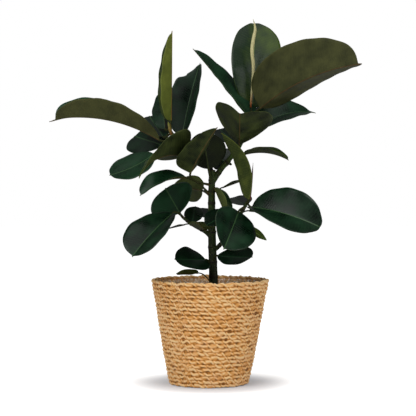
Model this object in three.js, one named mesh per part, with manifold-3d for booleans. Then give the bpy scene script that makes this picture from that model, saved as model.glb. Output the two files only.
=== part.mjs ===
// A potted rubber plant (Ficus elastica, dark-leaved) in a woven seagrass basket.
// Millimetres, +Z up. The origin is the centre of the basket's underside and -Y is the front.

import * as THREE from 'three';
import { mergeVertices } from 'three/addons/utils/BufferGeometryUtils.js';
import Module from 'manifold-3d';

const wasm = await Module();
wasm.setup();

// ---------------------------------------------------------------- driving dimensions

const BASKET = {
  height: 230,
  footRadius: 86,
  rimRadius: 129,
  flare: 0.85, // below 1 the wall widens faster near the foot than near the rim
  rimSwell: 1.5, // the last coils stand a little proud
  swellRows: 3,
  wall: 9,
  floor: 9,
  ropeRows: 26,
  ropeRelief: 2.2,
  footRounding: 5,
  sides: 36,
};

const LINER = { gap: 0.4, skin: 0.8, top: 224, turnUp: 0.6, sides: 24 };

const POT = {
  height: 197,
  footRadius: 73,
  rimRadius: 101,
  wall: 1.8,
  floor: 2.5,
  lipHeight: 12,
  lipDepth: 2.5,
  drainHoles: 6,
  drainRadius: 5,
  drainRing: 46,
  sides: 32,
};

const SOIL = { below: 13, mound: 5, gap: 0.5, edgeStep: 14, sides: 32 };

const STEM = { sides: 10, nodeSwell: 0.09, holeGap: 0.6, holeFloorGap: 1 };

const BLADE = {
  thickness: 1.1,
  petioleRadius: 2.4,
  ribDepth: 1.6, // how far the midrib stands out of the lower face at the blade's base
  stemGap: 0.5,
  across: [-1, 0, 1], // share of the half width, left margin to right margin
  acrossCurved: [-1, -0.5, 0, 0.5, 1], // for a blade whose halves curve
  petioleSteps: 3,
  petioleBend: 0.35, // how far before the blade the petiole turns into its line
  steps: 10,
  firstStep: 0.35, // the blade's first ring lies this share of a step past its base
  tipHalfWidth: 0.8,
  fullness: 0.62, // the outline's exponent: lower is blunter
};

const SHEATH = { sides: 8, steps: 8, tipRadius: 0.5 };

// ---------------------------------------------------------------- colours

const FINISH = {
  leafUpper: { color: 0x1c3323, roughness: 0.34, metalness: 0 },
  leafYoung: { color: 0x5f6f2c, roughness: 0.42, metalness: 0 },
  bark: { color: 0x33301d, roughness: 0.8, metalness: 0 },
  creamSheath: { color: 0xd8c596, roughness: 0.5, metalness: 0 },
  redSheath: { color: 0x7d3b1e, roughness: 0.5, metalness: 0 },
  soil: { color: 0x2b2018, roughness: 1, metalness: 0 },
  potPlastic: { color: 0x1d1d1e, roughness: 0.55, metalness: 0 },
  linerFilm: { color: 0xd9d3c8, roughness: 0.25, metalness: 0 },
  seagrass: { color: 0xc18f5c, roughness: 0.85, metalness: 0 },
};

// ---------------------------------------------------------------- stems

// Each stem runs through its points, and its radius goes evenly from the first value to the last.
const STEMS = {
  trunk: {
    through: [[8, 0, 150], [7, 0, 228], [4, 0, 316], [3, 0, 404], [4, 0, 470]],
    radius: [10, 6.5],
    steps: 15,
    nodes: 11,
  },
  leftCrown: {
    through: [[4, 2, 456], [-3, 10, 478], [-34, 22, 508], [-82, 12, 546], [-90, 9, 566]],
    radius: [5.2, 3.8],
    steps: 8,
    nodes: 5,
  },
  rightCrown: {
    through: [[3, 0, 440], [22, -3, 469], [44, -6, 496], [63, -10, 521], [80, -15, 562], [88, -20, 602]],
    radius: [6, 3.8],
    steps: 10,
    nodes: 6,
  },
  rightSide: {
    through: [[4, 0, 290], [20, -12, 304], [48, -24, 342], [71, -28, 382], [81, -28, 400]],
    radius: [4.6, 3.4],
    steps: 8,
    nodes: 4,
  },
  leftSide: {
    through: [[3, 0, 318], [-12, -3, 333], [-36, -10, 347], [-56, -12, 362], [-62, -12, 368]],
    radius: [3.2, 2.8],
    steps: 7,
    nodes: 3,
  },
};

// ---------------------------------------------------------------- leaves

// on: the stem that the petiole leaves, and the share of that stem's length.
// base, tip: the two ends of the midrib.   width: margin to margin, laid flat.
// face: the way the upper face looks.      fold: how far each half rises from flat, in degrees.
// arch: how far the midrib bows towards the upper face.   sway: how far it bows to the right.
// cup: the further rise at the margin, in degrees.        twist: how far the tip end turns, in degrees.
// belly: below 1 the blade is widest nearer its base.     young: a new leaf, still pale and folded.
const LEAVES = {
  left_crown_leaf_1: {
    on: ['leftCrown', 0.7], base: [-108, 4, 538], tip: [-350, -20, 574],
    width: 98, face: [0.1, 0.6, 0.8], fold: 48, arch: 25, cup: -10, belly: 1.3,
  },
  left_crown_leaf_2: {
    on: ['leftCrown', 0.64], base: [-104, 44, 524], tip: [-174, 140, 547],
    width: 104, face: [0, -0.72, 0.7], fold: 10, belly: 1.1,
  },
  left_crown_leaf_3: {
    on: ['leftCrown', 0.5], base: [-112, 22, 480], tip: [-221, 0, 467],
    width: 103, face: [0, -0.48, 0.88], fold: 12, cup: -14,
  },
  left_crown_leaf_4: {
    on: ['leftCrown', 0.74], base: [-53, -34, 492], tip: [-153, -130, 453],
    width: 128, face: [-0.64, 0.42, 0.65], fold: 42, arch: 30, cup: -10, twist: -30, belly: 0.52,
  },
  left_crown_leaf_5: {
    on: ['leftCrown', 1], base: [-87, 12, 578], tip: [-84, 10, 776],
    width: 68, face: [-1, -0.15, 0], fold: 50, belly: 0.72, young: true,
  },
  left_crown_leaf_6: {
    on: ['leftCrown', 0.56], base: [-58, 30, 538], tip: [-22, 92, 713],
    width: 100, face: [-0.62, -0.62, 0.42], fold: 40, cup: -12, sway: 4, belly: 1.25,
  },
  left_crown_leaf_7: {
    on: ['leftCrown', 0.92], base: [-98, 34, 562], tip: [-117, 120, 647],
    width: 66, face: [-0.45, -0.7, 0.5], fold: 30, belly: 0.8,
  },
  left_crown_leaf_8: {
    on: ['leftCrown', 0.8], base: [-104, 34, 543], tip: [-140, 140, 593],
    width: 65, face: [0, -0.6, 0.8], fold: 15,
  },
  right_crown_leaf_1: {
    on: ['rightCrown', 0.95], base: [100, -44, 601], tip: [314, -190, 688],
    width: 176, face: [0.1, 0.85, 0.5], fold: 53, arch: 15, sway: 14, cup: -10, belly: 0.74,
  },
  right_crown_leaf_2: {
    on: ['rightCrown', 0.68], base: [84, 6, 545], tip: [243, 90, 598],
    width: 112, face: [-0.3, -0.55, 0.75], fold: 42, arch: 14, cup: -12, belly: 0.72,
  },
  right_crown_leaf_3: {
    on: ['rightCrown', 0.58], base: [63, -26, 524], tip: [59, -150, 589],
    width: 152, face: [0.3, 0.35, 0.88], fold: 40, cup: -8,
  },
  right_crown_leaf_4: {
    on: ['rightCrown', 1], base: [93, -4, 612], tip: [105, 70, 800],
    width: 118, face: [0, -1, 0.3], fold: 15, arch: 20, cup: -14,
  },
  right_crown_leaf_5: {
    on: ['rightCrown', 0.92], base: [70, -36, 595], tip: [-38, -10, 737],
    width: 68, face: [0.35, -0.75, 0.5], fold: 60,
  },
  right_crown_leaf_6: {
    on: ['rightCrown', 0.6], base: [58, 8, 524], tip: [20, 80, 562],
    width: 60, face: [0, -0.5, 0.85], fold: 15,
  },
  right_crown_leaf_7: {
    on: ['rightCrown', 0.52], base: [74, -8, 508], tip: [169, -30, 491],
    width: 60, face: [0, -0.25, 1], fold: 8, arch: 11,
  },
  centre_leaf_1: {
    on: ['trunk', 0.87], base: [-42, -46, 466], tip: [15, -130, 560],
    width: 82, face: [-0.6, 0.7, 0.37], fold: 50, belly: 0.42,
  },
  centre_leaf_2: {
    on: ['trunk', 0.9], base: [-4, -22, 472], tip: [-16, -40, 553],
    width: 90, face: [0.15, 0.9, 0.4], fold: 22, cup: -10,
  },
  centre_leaf_3: {
    on: ['rightCrown', 0.34], base: [43, 16, 483], tip: [9, 30, 500],
    width: 60, face: [-0.1, -0.85, 0.5], fold: 12,
  },
  right_side_leaf_1: {
    on: ['rightSide', 1], base: [100, -38, 387], tip: [233, -130, 332],
    width: 127, face: [-0.15, -0.67, 0.72], fold: 37, arch: 8, belly: 0.92,
  },
  right_side_leaf_2: {
    on: ['rightSide', 0.8], base: [63, -52, 378], tip: [43, -140, 300],
    width: 92, face: [0.05, -0.75, 0.65], fold: 12, sway: -6, cup: -14, belly: 1.05,
  },
  right_side_leaf_3: {
    on: ['rightSide', 0.96], base: [79, -43, 410], tip: [15, -75, 550],
    width: 60, face: [-0.6, 0.75, 0.2], fold: 60, arch: -18, sway: -20, young: true,
  },
  right_side_leaf_4: {
    on: ['rightSide', 0.7], base: [86, -6, 380], tip: [172, 30, 370],
    width: 42, face: [0, -0.3, 0.95], fold: 10,
  },
  right_side_leaf_6: {
    on: ['rightSide', 0.5], base: [70, -8, 352], tip: [122, -24, 316],
    width: 34, face: [0, -0.6, 0.8], fold: 10,
  },
  right_side_leaf_5: {
    on: ['rightSide', 0.88], base: [77, -5, 392], tip: [58, 90, 399],
    width: 56, face: [0, -0.4, 0.9], fold: 12,
  },
  left_side_leaf_1: {
    on: ['leftSide', 0.85], base: [-78, -34, 377], tip: [-166, -110, 286],
    width: 108, face: [-0.45, -0.6, 0.65], fold: 26, sway: 5, cup: -14, belly: 1.25,
  },
  left_side_leaf_2: {
    on: ['leftSide', 1], base: [-67, -3, 375], tip: [-101, 75, 429],
    width: 108, face: [-0.5, -0.5, 0.7], fold: 15, cup: -14,
  },
  left_side_leaf_3: {
    on: ['leftSide', 0.6], base: [-42, 6, 362], tip: [-33, 68, 388],
    width: 36, face: [0, -0.6, 0.8], fold: 10,
  },
  left_side_leaf_4: {
    on: ['leftSide', 0.55], base: [-56, -34, 351], tip: [-92, -50, 342],
    width: 30, face: [0, 0.05, 1], fold: 8,
  },
  trunk_leaf_1: {
    on: ['trunk', 0.79], base: [-52, -24, 458], tip: [-150, -60, 414],
    width: 72, face: [0, -0.3, 0.95], fold: 15, arch: 17, cup: -14,
  },
  trunk_leaf_2: {
    on: ['trunk', 0.78], base: [-14, 20, 424], tip: [-80, 130, 436],
    width: 66, face: [0.5, 0.85, -0.1], fold: 25,
  },
  trunk_leaf_3: {
    on: ['trunk', 0.79], base: [16, -24, 427], tip: [45, -62, 383],
    width: 52, face: [0.35, 0.75, 0.55], fold: 20,
  },
  trunk_leaf_4: {
    on: ['trunk', 0.8], base: [27, 18, 431], tip: [74, 60, 446],
    width: 34, face: [0, 0.45, 0.9], fold: 10,
  },
  trunk_leaf_5: {
    on: ['trunk', 0.55], base: [-10, -20, 338], tip: [-28, -68, 353],
    width: 44, face: [0.3, 0.85, 0.4], fold: 10,
  },
  trunk_leaf_6: {
    on: ['trunk', 0.62], base: [-8, 20, 364], tip: [-23, 80, 384],
    width: 40, face: [0, -0.5, 0.85], fold: 10,
  },
  trunk_leaf_7: {
    on: ['rightSide', 0.55], base: [40, -44, 378], tip: [-9, -80, 350],
    width: 58, face: [0, -0.6, 0.8], fold: 10,
  },
  low_leaf_1: {
    on: ['trunk', 0.37], base: [24, -16, 276], tip: [90, -70, 285],
    width: 76, face: [0, -0.6, 0.8], fold: 10, belly: 0.9,
  },
  low_leaf_2: {
    on: ['trunk', 0.35], base: [-12, -14, 265], tip: [-76, -60, 276],
    width: 84, face: [0, -0.6, 0.8], fold: 10,
  },
  low_leaf_3: {
    on: ['trunk', 0.22], base: [-27, -32, 245], tip: [-74, -60, 246],
    width: 34, face: [0, 0.5, 0.85], fold: 10,
  },
};

// The bud sheaths: red or cream spindles that stand where the next leaf will open.
const SHEATHS = {
  right_crown_bud_sheath: {
    from: [88, -19, 606], to: [95, -18, 798], radius: 4.4, widestAt: 0.8, finish: FINISH.creamSheath,
  },
  right_side_bud_sheath: {
    from: [87, -26, 404], to: [93, -40, 485], radius: 2, widestAt: 0.4, finish: FINISH.redSheath,
  },
  left_crown_bud_sheath: {
    from: [-85, 0.8, 546], to: [-93, -8, 576], radius: 3.4, widestAt: 0.4, finish: FINISH.leafYoung,
  },
};

// ---------------------------------------------------------------- helpers

const vec = (p) => new THREE.Vector3(...p);

function stemCurve(stem) {
  return new THREE.CatmullRomCurve3(stem.through.map(vec), false, 'catmullrom', 0.5);
}

function stemRadius(stem, t) {
  return THREE.MathUtils.lerp(stem.radius[0], stem.radius[1], t);
}

// Joins rings of points into one closed skin. A ring is an upper row and a lower row, both from
// left to right, so a blade's two faces are split into triangles alike.
function skin(rings) {
  const wide = rings[0].upper.length;
  const points = rings.flatMap((ring) => [...ring.upper, ...ring.lower]);
  const upper = (i, j) => i * 2 * wide + j;
  const lower = (i, j) => i * 2 * wide + wide + j;
  const faces = [];
  const quad = (a, b, c, d) => faces.push(a, b, c, a, c, d);
  for (let i = 0; i < rings.length - 1; i += 1) {
    for (let j = 0; j < wide - 1; j += 1) {
      if (j < (wide - 1) / 2) {
        quad(upper(i, j), upper(i, j + 1), upper(i + 1, j + 1), upper(i + 1, j));
        quad(lower(i, j), lower(i + 1, j), lower(i + 1, j + 1), lower(i, j + 1));
      } else {
        quad(upper(i, j + 1), upper(i + 1, j + 1), upper(i + 1, j), upper(i, j));
        quad(lower(i, j + 1), lower(i, j), lower(i + 1, j), lower(i + 1, j + 1));
      }
    }
    quad(upper(i, 0), upper(i + 1, 0), lower(i + 1, 0), lower(i, 0));
    const last = wide - 1;
    quad(upper(i, last), lower(i, last), lower(i + 1, last), upper(i + 1, last));
  }
  const end = rings.length - 1;
  for (let j = 0; j < wide - 1; j += 1) {
    quad(upper(0, j), lower(0, j), lower(0, j + 1), upper(0, j + 1));
    quad(upper(end, j), upper(end, j + 1), lower(end, j + 1), lower(end, j));
  }
  const geometry = new THREE.BufferGeometry().setFromPoints(points);
  geometry.setIndex(faces);
  return geometry;
}

// A round ring in the form that skin() takes: half of its points above, half below.
function roundRing(centre, side, normal, radius, wide) {
  const row = (sign) => Array.from({ length: wide }, (_, j) => {
    const angle = Math.PI * (1 - (j + 0.5) / wide);
    return centre.clone()
      .addScaledVector(side, radius * Math.cos(angle))
      .addScaledVector(normal, sign * radius * Math.sin(angle));
  });
  return { upper: row(1), lower: row(-1) };
}

// Two directions square to a tangent, of which the first stays as near to a wanted one as it can.
function squareTo(tangent, wanted) {
  const side = wanted.clone().addScaledVector(tangent, -wanted.dot(tangent)).normalize();
  return { side, normal: side.clone().cross(tangent) };
}

// ---------------------------------------------------------------- leaf

// The blade's half width along its midrib: round at the base, widest past the middle, short tip.
function halfWidth(leaf, t) {
  const outline = Math.sin(Math.PI * t ** (leaf.belly ?? 0.95)) ** BLADE.fullness;
  return Math.max(BLADE.tipHalfWidth, (leaf.width / 2) * outline);
}

function leafGeometry(leaf) {
  const base = vec(leaf.base);
  const chord = vec(leaf.tip).sub(base);
  const along = chord.clone().normalize();
  const face = vec(leaf.face);
  const up = face.addScaledVector(along, -face.dot(along)).normalize();
  const right = along.clone().cross(up);
  const midrib = (t) => base.clone().addScaledVector(chord, t)
    .addScaledVector(up, (leaf.arch ?? 0) * 4 * t * (1 - t))
    .addScaledVector(right, (leaf.sway ?? 0) * 4 * t * (1 - t));
  const heading = (t) => midrib(Math.min(1, t + 0.01)).sub(midrib(Math.max(0, t - 0.01))).normalize();

  const across = leaf.cup ? BLADE.acrossCurved : BLADE.across;
  const rings = [];

  // The petiole leaves the skin of its stem and turns into the line of the midrib.
  const stem = STEMS[leaf.on[0]];
  const limb = stemCurve(stem);
  const node = limb.getPoint(leaf.on[1]);
  const axis = limb.getTangent(leaf.on[1]);
  const turn = base.clone().addScaledVector(heading(0), -BLADE.petioleBend * node.distanceTo(base));
  const away = turn.clone().sub(node).normalize();
  const lean = Math.abs(away.dot(axis));
  const { side: outward } = squareTo(axis, away);
  const clear = stemRadius(stem, leaf.on[1]) * (1 + STEM.nodeSwell) + BLADE.stemGap
    + BLADE.petioleRadius * lean;
  const start = leaf.on[1] < 1 ? node.addScaledVector(outward, clear) : node.addScaledVector(away, clear);
  const petiole = new THREE.QuadraticBezierCurve3(start, turn, base);
  for (let i = 0; i < BLADE.petioleSteps; i += 1) {
    const t = i / BLADE.petioleSteps;
    const { side, normal } = squareTo(petiole.getTangent(t), right);
    rings.push(roundRing(petiole.getPoint(t), side, normal, BLADE.petioleRadius, across.length));
  }

  // The blade: a thin shell, folded along the midrib, with the rib standing out below.
  for (let i = 0; i <= BLADE.steps; i += 1) {
    const t = (1 - Math.cos((Math.PI * (i + BLADE.firstStep)) / (BLADE.steps + BLADE.firstStep))) / 2;
    const centre = midrib(t);
    const turned = right.clone().applyAxisAngle(heading(t), THREE.MathUtils.degToRad(-(leaf.twist ?? 0) * t));
    const { side, normal } = squareTo(heading(t), turned);
    const half = halfWidth(leaf, t);
    const rib = BLADE.ribDepth * (1 - 0.8 * t);
    const row = (sign) => across.map((s) => {
      const out = Math.abs(s);
      const rise = THREE.MathUtils.degToRad(leaf.fold + (leaf.cup ?? 0) * out * 0.5);
      const slope = THREE.MathUtils.degToRad(leaf.fold + (leaf.cup ?? 0) * out);
      const tilt = s === 0 ? 0 : -Math.sign(s) * Math.sin(slope);
      const depth = BLADE.thickness / 2 + (s === 0 && sign < 0 ? rib : 0);
      return centre.clone()
        .addScaledVector(side, s * half * Math.cos(rise) + sign * depth * tilt)
        .addScaledVector(normal, out * half * Math.sin(rise)
          + sign * depth * (s === 0 ? 1 : Math.cos(slope)));
    });
    rings.push({ upper: row(1), lower: row(-1) });
  }
  return skin(rings);
}

// ---------------------------------------------------------------- stems

function toManifold(geometry) {
  const bare = geometry.clone();
  bare.deleteAttribute('normal');
  bare.deleteAttribute('uv');
  const merged = mergeVertices(bare, 1e-4);
  return new wasm.Manifold(new wasm.Mesh({
    numProp: 3,
    vertProperties: new Float32Array(merged.attributes.position.array),
    triVerts: new Uint32Array(merged.index.array),
  }));
}

function fromManifold(solid) {
  const { vertProperties, triVerts } = solid.getMesh();
  const geometry = new THREE.BufferGeometry();
  geometry.setAttribute('position', new THREE.BufferAttribute(vertProperties, 3));
  geometry.setIndex(new THREE.BufferAttribute(triVerts, 1));
  return geometry;
}

// One stem: a round skin that swells a little at each leaf node.
function stemSkin(stem) {
  const curve = stemCurve(stem);
  const rings = [];
  for (let i = 0; i <= stem.steps; i += 1) {
    const t = i / stem.steps;
    const node = Math.max(0, Math.cos(2 * Math.PI * stem.nodes * t)) ** 4;
    const radius = stemRadius(stem, t) * (1 + STEM.nodeSwell * node);
    const { side, normal } = squareTo(curve.getTangent(t), new THREE.Vector3(0, -1, 0));
    rings.push(roundRing(curve.getPoint(t), side, normal, radius, STEM.sides / 2));
  }
  return skin(rings);
}

function stemGeometry() {
  const [first, ...rest] = Object.values(STEMS).map((stem) => toManifold(stemSkin(stem)));
  return fromManifold(rest.reduce((whole, limb) => whole.add(limb), first));
}

function sheathGeometry(sheath) {
  const from = vec(sheath.from);
  const axis = vec(sheath.to).sub(from);
  const { side, normal } = squareTo(axis.clone().normalize(), new THREE.Vector3(1, 0, 0));
  const rings = [];
  for (let i = 0; i <= SHEATH.steps; i += 1) {
    const t = i / SHEATH.steps;
    const swell = t < sheath.widestAt
      ? 0.55 + 0.45 * Math.sin((Math.PI / 2) * (t / sheath.widestAt))
      : Math.cos((Math.PI / 2) * ((t - sheath.widestAt) / (1 - sheath.widestAt))) ** 0.8;
    const radius = Math.max(SHEATH.tipRadius, sheath.radius * swell);
    rings.push(roundRing(from.clone().addScaledVector(axis, t), side, normal, radius, SHEATH.sides / 2));
  }
  return skin(rings);
}

// ---------------------------------------------------------------- basket, liner, pot and soil

// Turns a closed outline of [radius, height] pairs about the upright axis.
function turned(outline, sides) {
  const points = outline.map(([r, z]) => new THREE.Vector2(r, z));
  return new THREE.LatheGeometry(points, sides).rotateX(Math.PI / 2);
}

function basketRadius(z) {
  const share = Math.max(0, z) / BASKET.height;
  const rows = share * BASKET.ropeRows;
  const swell = THREE.MathUtils.smoothstep(rows, BASKET.ropeRows - BASKET.swellRows - 1,
    BASKET.ropeRows - BASKET.swellRows);
  return THREE.MathUtils.lerp(BASKET.footRadius, BASKET.rimRadius - BASKET.rimSwell,
    share ** BASKET.flare) + BASKET.rimSwell * swell;
}

// The basket's wall is a rope coiled row on row: its outline is a ridge for each row.
function basketGeometry() {
  const pitch = BASKET.height / BASKET.ropeRows;
  const outline = [[0, 0], [BASKET.footRadius - BASKET.footRounding, 0]];
  for (let row = 0; row < BASKET.ropeRows; row += 1) {
    const crest = (row + 0.5) * pitch;
    outline.push([basketRadius(crest), crest]);
    if (row < BASKET.ropeRows - 1) {
      const groove = (row + 1) * pitch;
      outline.push([basketRadius(groove) - BASKET.ropeRelief, groove]);
    }
  }
  const top = BASKET.height;
  outline.push([basketRadius(top) - BASKET.wall / 2, top]);
  outline.push([basketRadius(top) - BASKET.wall, top - pitch / 2]);
  outline.push([basketRadius(BASKET.height / 2) - BASKET.wall, BASKET.height / 2]);
  outline.push([basketRadius(BASKET.floor) - BASKET.wall, BASKET.floor]);
  outline.push([0, BASKET.floor]);
  return turned(outline, BASKET.sides);
}

// The liner is a thin film against the inside of the basket's wall and floor.
function linerGeometry() {
  const half = BASKET.height / 2;
  const wall = (z) => basketRadius(z) - BASKET.wall - LINER.gap - LINER.turnUp;
  const floor = BASKET.floor + LINER.gap;
  const outline = [
    [0, floor], [wall(floor) - LINER.gap, floor], [wall(half), half], [wall(LINER.top), LINER.top],
    [wall(LINER.top) - LINER.skin, LINER.top], [wall(half) - LINER.skin, half],
    [wall(floor) - LINER.gap - LINER.skin, floor + LINER.skin], [0, floor + LINER.skin],
  ];
  return turned(outline, LINER.sides);
}

const POT_FOOT = BASKET.floor + 2 * LINER.gap + LINER.skin;

function potGeometry() {
  const foot = POT_FOOT;
  const rim = foot + POT.height;
  const lip = rim - POT.lipHeight;
  const slope = (POT.rimRadius - POT.lipDepth - POT.footRadius) / (POT.height - POT.lipHeight);
  const wall = (z) => POT.footRadius + slope * (z - foot);
  const outline = [
    [0, foot], [POT.footRadius, foot], [wall(lip), lip], [POT.rimRadius, lip], [POT.rimRadius, rim],
    [POT.rimRadius - POT.wall, rim], [wall(lip) - POT.wall, lip],
    [wall(foot + POT.floor) - POT.wall, foot + POT.floor], [0, foot + POT.floor],
  ];
  let pot = toManifold(turned(outline, POT.sides));
  for (let i = 0; i < POT.drainHoles; i += 1) {
    const angle = (2 * Math.PI * i) / POT.drainHoles;
    const hole = new THREE.CylinderGeometry(POT.drainRadius, POT.drainRadius, 4 * POT.floor, 8)
      .rotateX(Math.PI / 2)
      .translate(POT.drainRing * Math.cos(angle), POT.drainRing * Math.sin(angle), foot);
    pot = pot.subtract(toManifold(hole));
  }
  return fromManifold(pot);
}

// The soil fills the pot and has a plain hole in which the trunk stands.
function soilGeometry() {
  const foot = POT_FOOT + POT.floor + SOIL.gap;
  const lip = POT_FOOT + POT.height - POT.lipHeight;
  const top = POT_FOOT + POT.height - SOIL.below;
  const slope = (POT.rimRadius - POT.lipDepth - POT.footRadius) / (POT.height - POT.lipHeight);
  const wall = (z) => POT.footRadius + slope * (z - POT_FOOT) - POT.wall - SOIL.gap;
  const edge = Math.min(lip, top);
  const outline = [
    [0, foot], [wall(foot), foot], [wall(edge), edge],
    [wall(edge) - SOIL.edgeStep, top + SOIL.mound * 0.6], [0, top + SOIL.mound],
  ];
  const trunk = STEMS.trunk;
  const [x, y, z] = trunk.through[0];
  const radius = stemRadius(trunk, 0) * (1 + STEM.nodeSwell) + STEM.holeGap;
  const depth = top + SOIL.mound - z + 2 * STEM.holeFloorGap;
  const hole = new THREE.CylinderGeometry(radius, radius, depth, 16).rotateX(Math.PI / 2)
    .translate(x, y, z - STEM.holeFloorGap + depth / 2);
  return fromManifold(toManifold(turned(outline, SOIL.sides)).subtract(toManifold(hole)));
}

// ---------------------------------------------------------------- the object

const plant = new THREE.Group();

function place(name, geometry, finish) {
  const mesh = new THREE.Mesh(geometry, new THREE.MeshStandardMaterial(finish));
  mesh.name = name;
  plant.add(mesh);
}

place('basket', basketGeometry(), FINISH.seagrass);
place('liner', linerGeometry(), FINISH.linerFilm);
place('nursery_pot', potGeometry(), FINISH.potPlastic);
place('soil', soilGeometry(), FINISH.soil);
place('stem', stemGeometry(), FINISH.bark);
for (const [name, leaf] of Object.entries(LEAVES)) {
  place(name, leafGeometry(leaf), leaf.young ? FINISH.leafYoung : FINISH.leafUpper);
}
for (const [name, sheath] of Object.entries(SHEATHS)) {
  place(name, sheathGeometry(sheath), sheath.finish);
}

export default plant;
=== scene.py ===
"""A potted rubber plant (dark-leaved Ficus elastica) in a coiled seagrass basket.

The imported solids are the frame. Every piece is built here again as a finer mesh in the same place:
waxy blades with veins and petioles, a barked stem, bud sheaths, a twisted-rope basket, its film
liner, the nursery pot and the soil. Sizes are in millimetres until a mesh is made in metres.
"""

import logging
import math
from dataclasses import dataclass
from enum import Enum
from typing import Any, Sequence

import bpy
import numpy as np
from mathutils.kdtree import KDTree
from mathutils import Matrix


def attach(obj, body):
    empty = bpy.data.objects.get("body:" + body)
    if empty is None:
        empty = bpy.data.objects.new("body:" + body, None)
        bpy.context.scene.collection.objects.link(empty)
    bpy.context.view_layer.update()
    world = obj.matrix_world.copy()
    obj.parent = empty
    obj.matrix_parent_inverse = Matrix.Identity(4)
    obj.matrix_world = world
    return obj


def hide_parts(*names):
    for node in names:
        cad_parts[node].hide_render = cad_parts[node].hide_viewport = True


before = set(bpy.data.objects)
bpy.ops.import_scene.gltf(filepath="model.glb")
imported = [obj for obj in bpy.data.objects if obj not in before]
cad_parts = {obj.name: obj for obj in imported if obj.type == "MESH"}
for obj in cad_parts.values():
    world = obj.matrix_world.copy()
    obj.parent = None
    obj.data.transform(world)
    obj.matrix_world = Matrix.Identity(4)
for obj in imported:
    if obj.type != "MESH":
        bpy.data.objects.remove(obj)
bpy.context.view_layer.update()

log = logging.getLogger("rubber_plant")

MM = 0.001
BODY = "root"
Point = tuple[float, float, float]

# ---------------------------------------------------------------- colour, nodes and meshes


def linear(hex_colour: str, alpha: float = 1.0) -> tuple[float, float, float, float]:
    """Turns an sRGB colour to linear light.

    Args:
        hex_colour: The colour as "#rrggbb".
        alpha: How solid it is.

    Returns:
        The linear red, green and blue, with the alpha.
    """
    shares = [int(hex_colour[i:i + 2], 16) / 255 for i in (1, 3, 5)]
    light = [c / 12.92 if c <= 0.04045 else ((c + 0.055) / 1.055) ** 2.4 for c in shares]
    return (light[0], light[1], light[2], alpha)


def set_inputs(node: bpy.types.Node, inputs: dict[Any, Any]) -> None:
    """Sets or links a node's inputs.

    Args:
        node: The node.
        inputs: For each named or numbered input its value, its colour as "#rrggbb", the socket
            that feeds it, or the node whose first output in use does.
    """
    for name, value in inputs.items():
        if isinstance(value, bpy.types.Node):
            value = next(output for output in value.outputs if output.enabled)
        if isinstance(value, bpy.types.NodeSocket):
            node.id_data.links.new(value, node.inputs[name])
        else:
            node.inputs[name].default_value = linear(value) if isinstance(value, str) else value


def add_node(tree: bpy.types.NodeTree, kind: str, inputs: dict[Any, Any] | None = None,
             stops: Sequence[tuple[float, str]] = (), **settings: Any) -> bpy.types.Node:
    """Adds a node with its settings, values and links.

    Inputs 1 and 2 of a MapRange are the range that it reads and 3 and 4 the one that it gives. A
    colour Mix has its share in input 0 and its colours in 6 and 7.

    Args:
        tree: The node tree.
        kind: The node's type name without its "ShaderNode".
        inputs: What goes into each named or numbered input, as set_inputs takes it.
        stops: The places and colours of a colour ramp.
        **settings: The node's own properties.

    Returns:
        The new node.
    """
    node = tree.nodes.new(f"ShaderNode{kind}")
    for name, value in settings.items():
        setattr(node, name, value)
    set_inputs(node, inputs or {})
    if stops:
        ramp = node.color_ramp
        while len(ramp.elements) < len(stops):
            ramp.elements.new(0.5)
        for element, (place, colour) in zip(ramp.elements, stops):
            element.position = place
            element.color = linear(colour)
    return node


def new_surface(name: str) -> tuple[bpy.types.Material, bpy.types.NodeTree, bpy.types.Node,
                                    bpy.types.NodeSocket]:
    """Starts a material.

    Args:
        name: The material's name.

    Returns:
        The material, its node tree, its surface shader and the place on the object, in metres.
    """
    material = bpy.data.materials.new(name)
    material.use_nodes = True
    tree = material.node_tree
    place = add_node(tree, "TexCoord").outputs["Object"]
    return material, tree, tree.nodes["Principled BSDF"], place


def scale_of(size_mm: float) -> float:
    """The noise scale that gives features of a real size, on coordinates in metres."""
    return 1.0 / (size_mm * MM)


def mesh_object(name: str, points_mm: np.ndarray, faces: list[tuple[int, ...]],
                materials: Sequence[bpy.types.Material], slots: Sequence[int] | None = None,
                marks: dict[str, np.ndarray] | None = None) -> bpy.types.Object:
    """Makes a smooth mesh object.

    Args:
        name: The piece's name.
        points_mm: Its points, one to a row.
        faces: The point numbers of each face, turning outwards.
        materials: Its materials.
        slots: The number of each face's material.
        marks: Values kept on the points for the materials, single or in threes.

    Returns:
        The object, linked into the scene.
    """
    mesh = bpy.data.meshes.new(name)
    mesh.from_pydata((np.asarray(points_mm, float) * MM).tolist(), [], faces)
    for material in materials:
        mesh.materials.append(material)
    if slots is not None:
        mesh.polygons.foreach_set("material_index", np.asarray(slots, np.int32))
    for mark, values in (marks or {}).items():
        values = np.asarray(values, np.float32)
        if values.ndim == 2:
            layer = mesh.attributes.new(mark, "FLOAT_VECTOR", "POINT")
            layer.data.foreach_set("vector", values.ravel())
        else:
            layer = mesh.attributes.new(mark, "FLOAT", "POINT")
            layer.data.foreach_set("value", values)
    mesh.polygons.foreach_set("use_smooth", np.ones(len(mesh.polygons), bool))
    mesh.validate()
    mesh.update()
    piece = bpy.data.objects.new(name, mesh)
    bpy.context.scene.collection.objects.link(piece)
    return piece


def hand_over(piece: bpy.types.Object, slot: str, *nodes: str) -> None:
    """Lets a piece ride on the frame in place of its solids.

    Args:
        piece: The finished piece.
        slot: Not used.
        *nodes: The solids that it stands for.
    """
    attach(piece, BODY)
    if nodes:
        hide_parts(*nodes)
    log.info("%s: %d faces", piece.name, len(piece.data.polygons))


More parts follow.
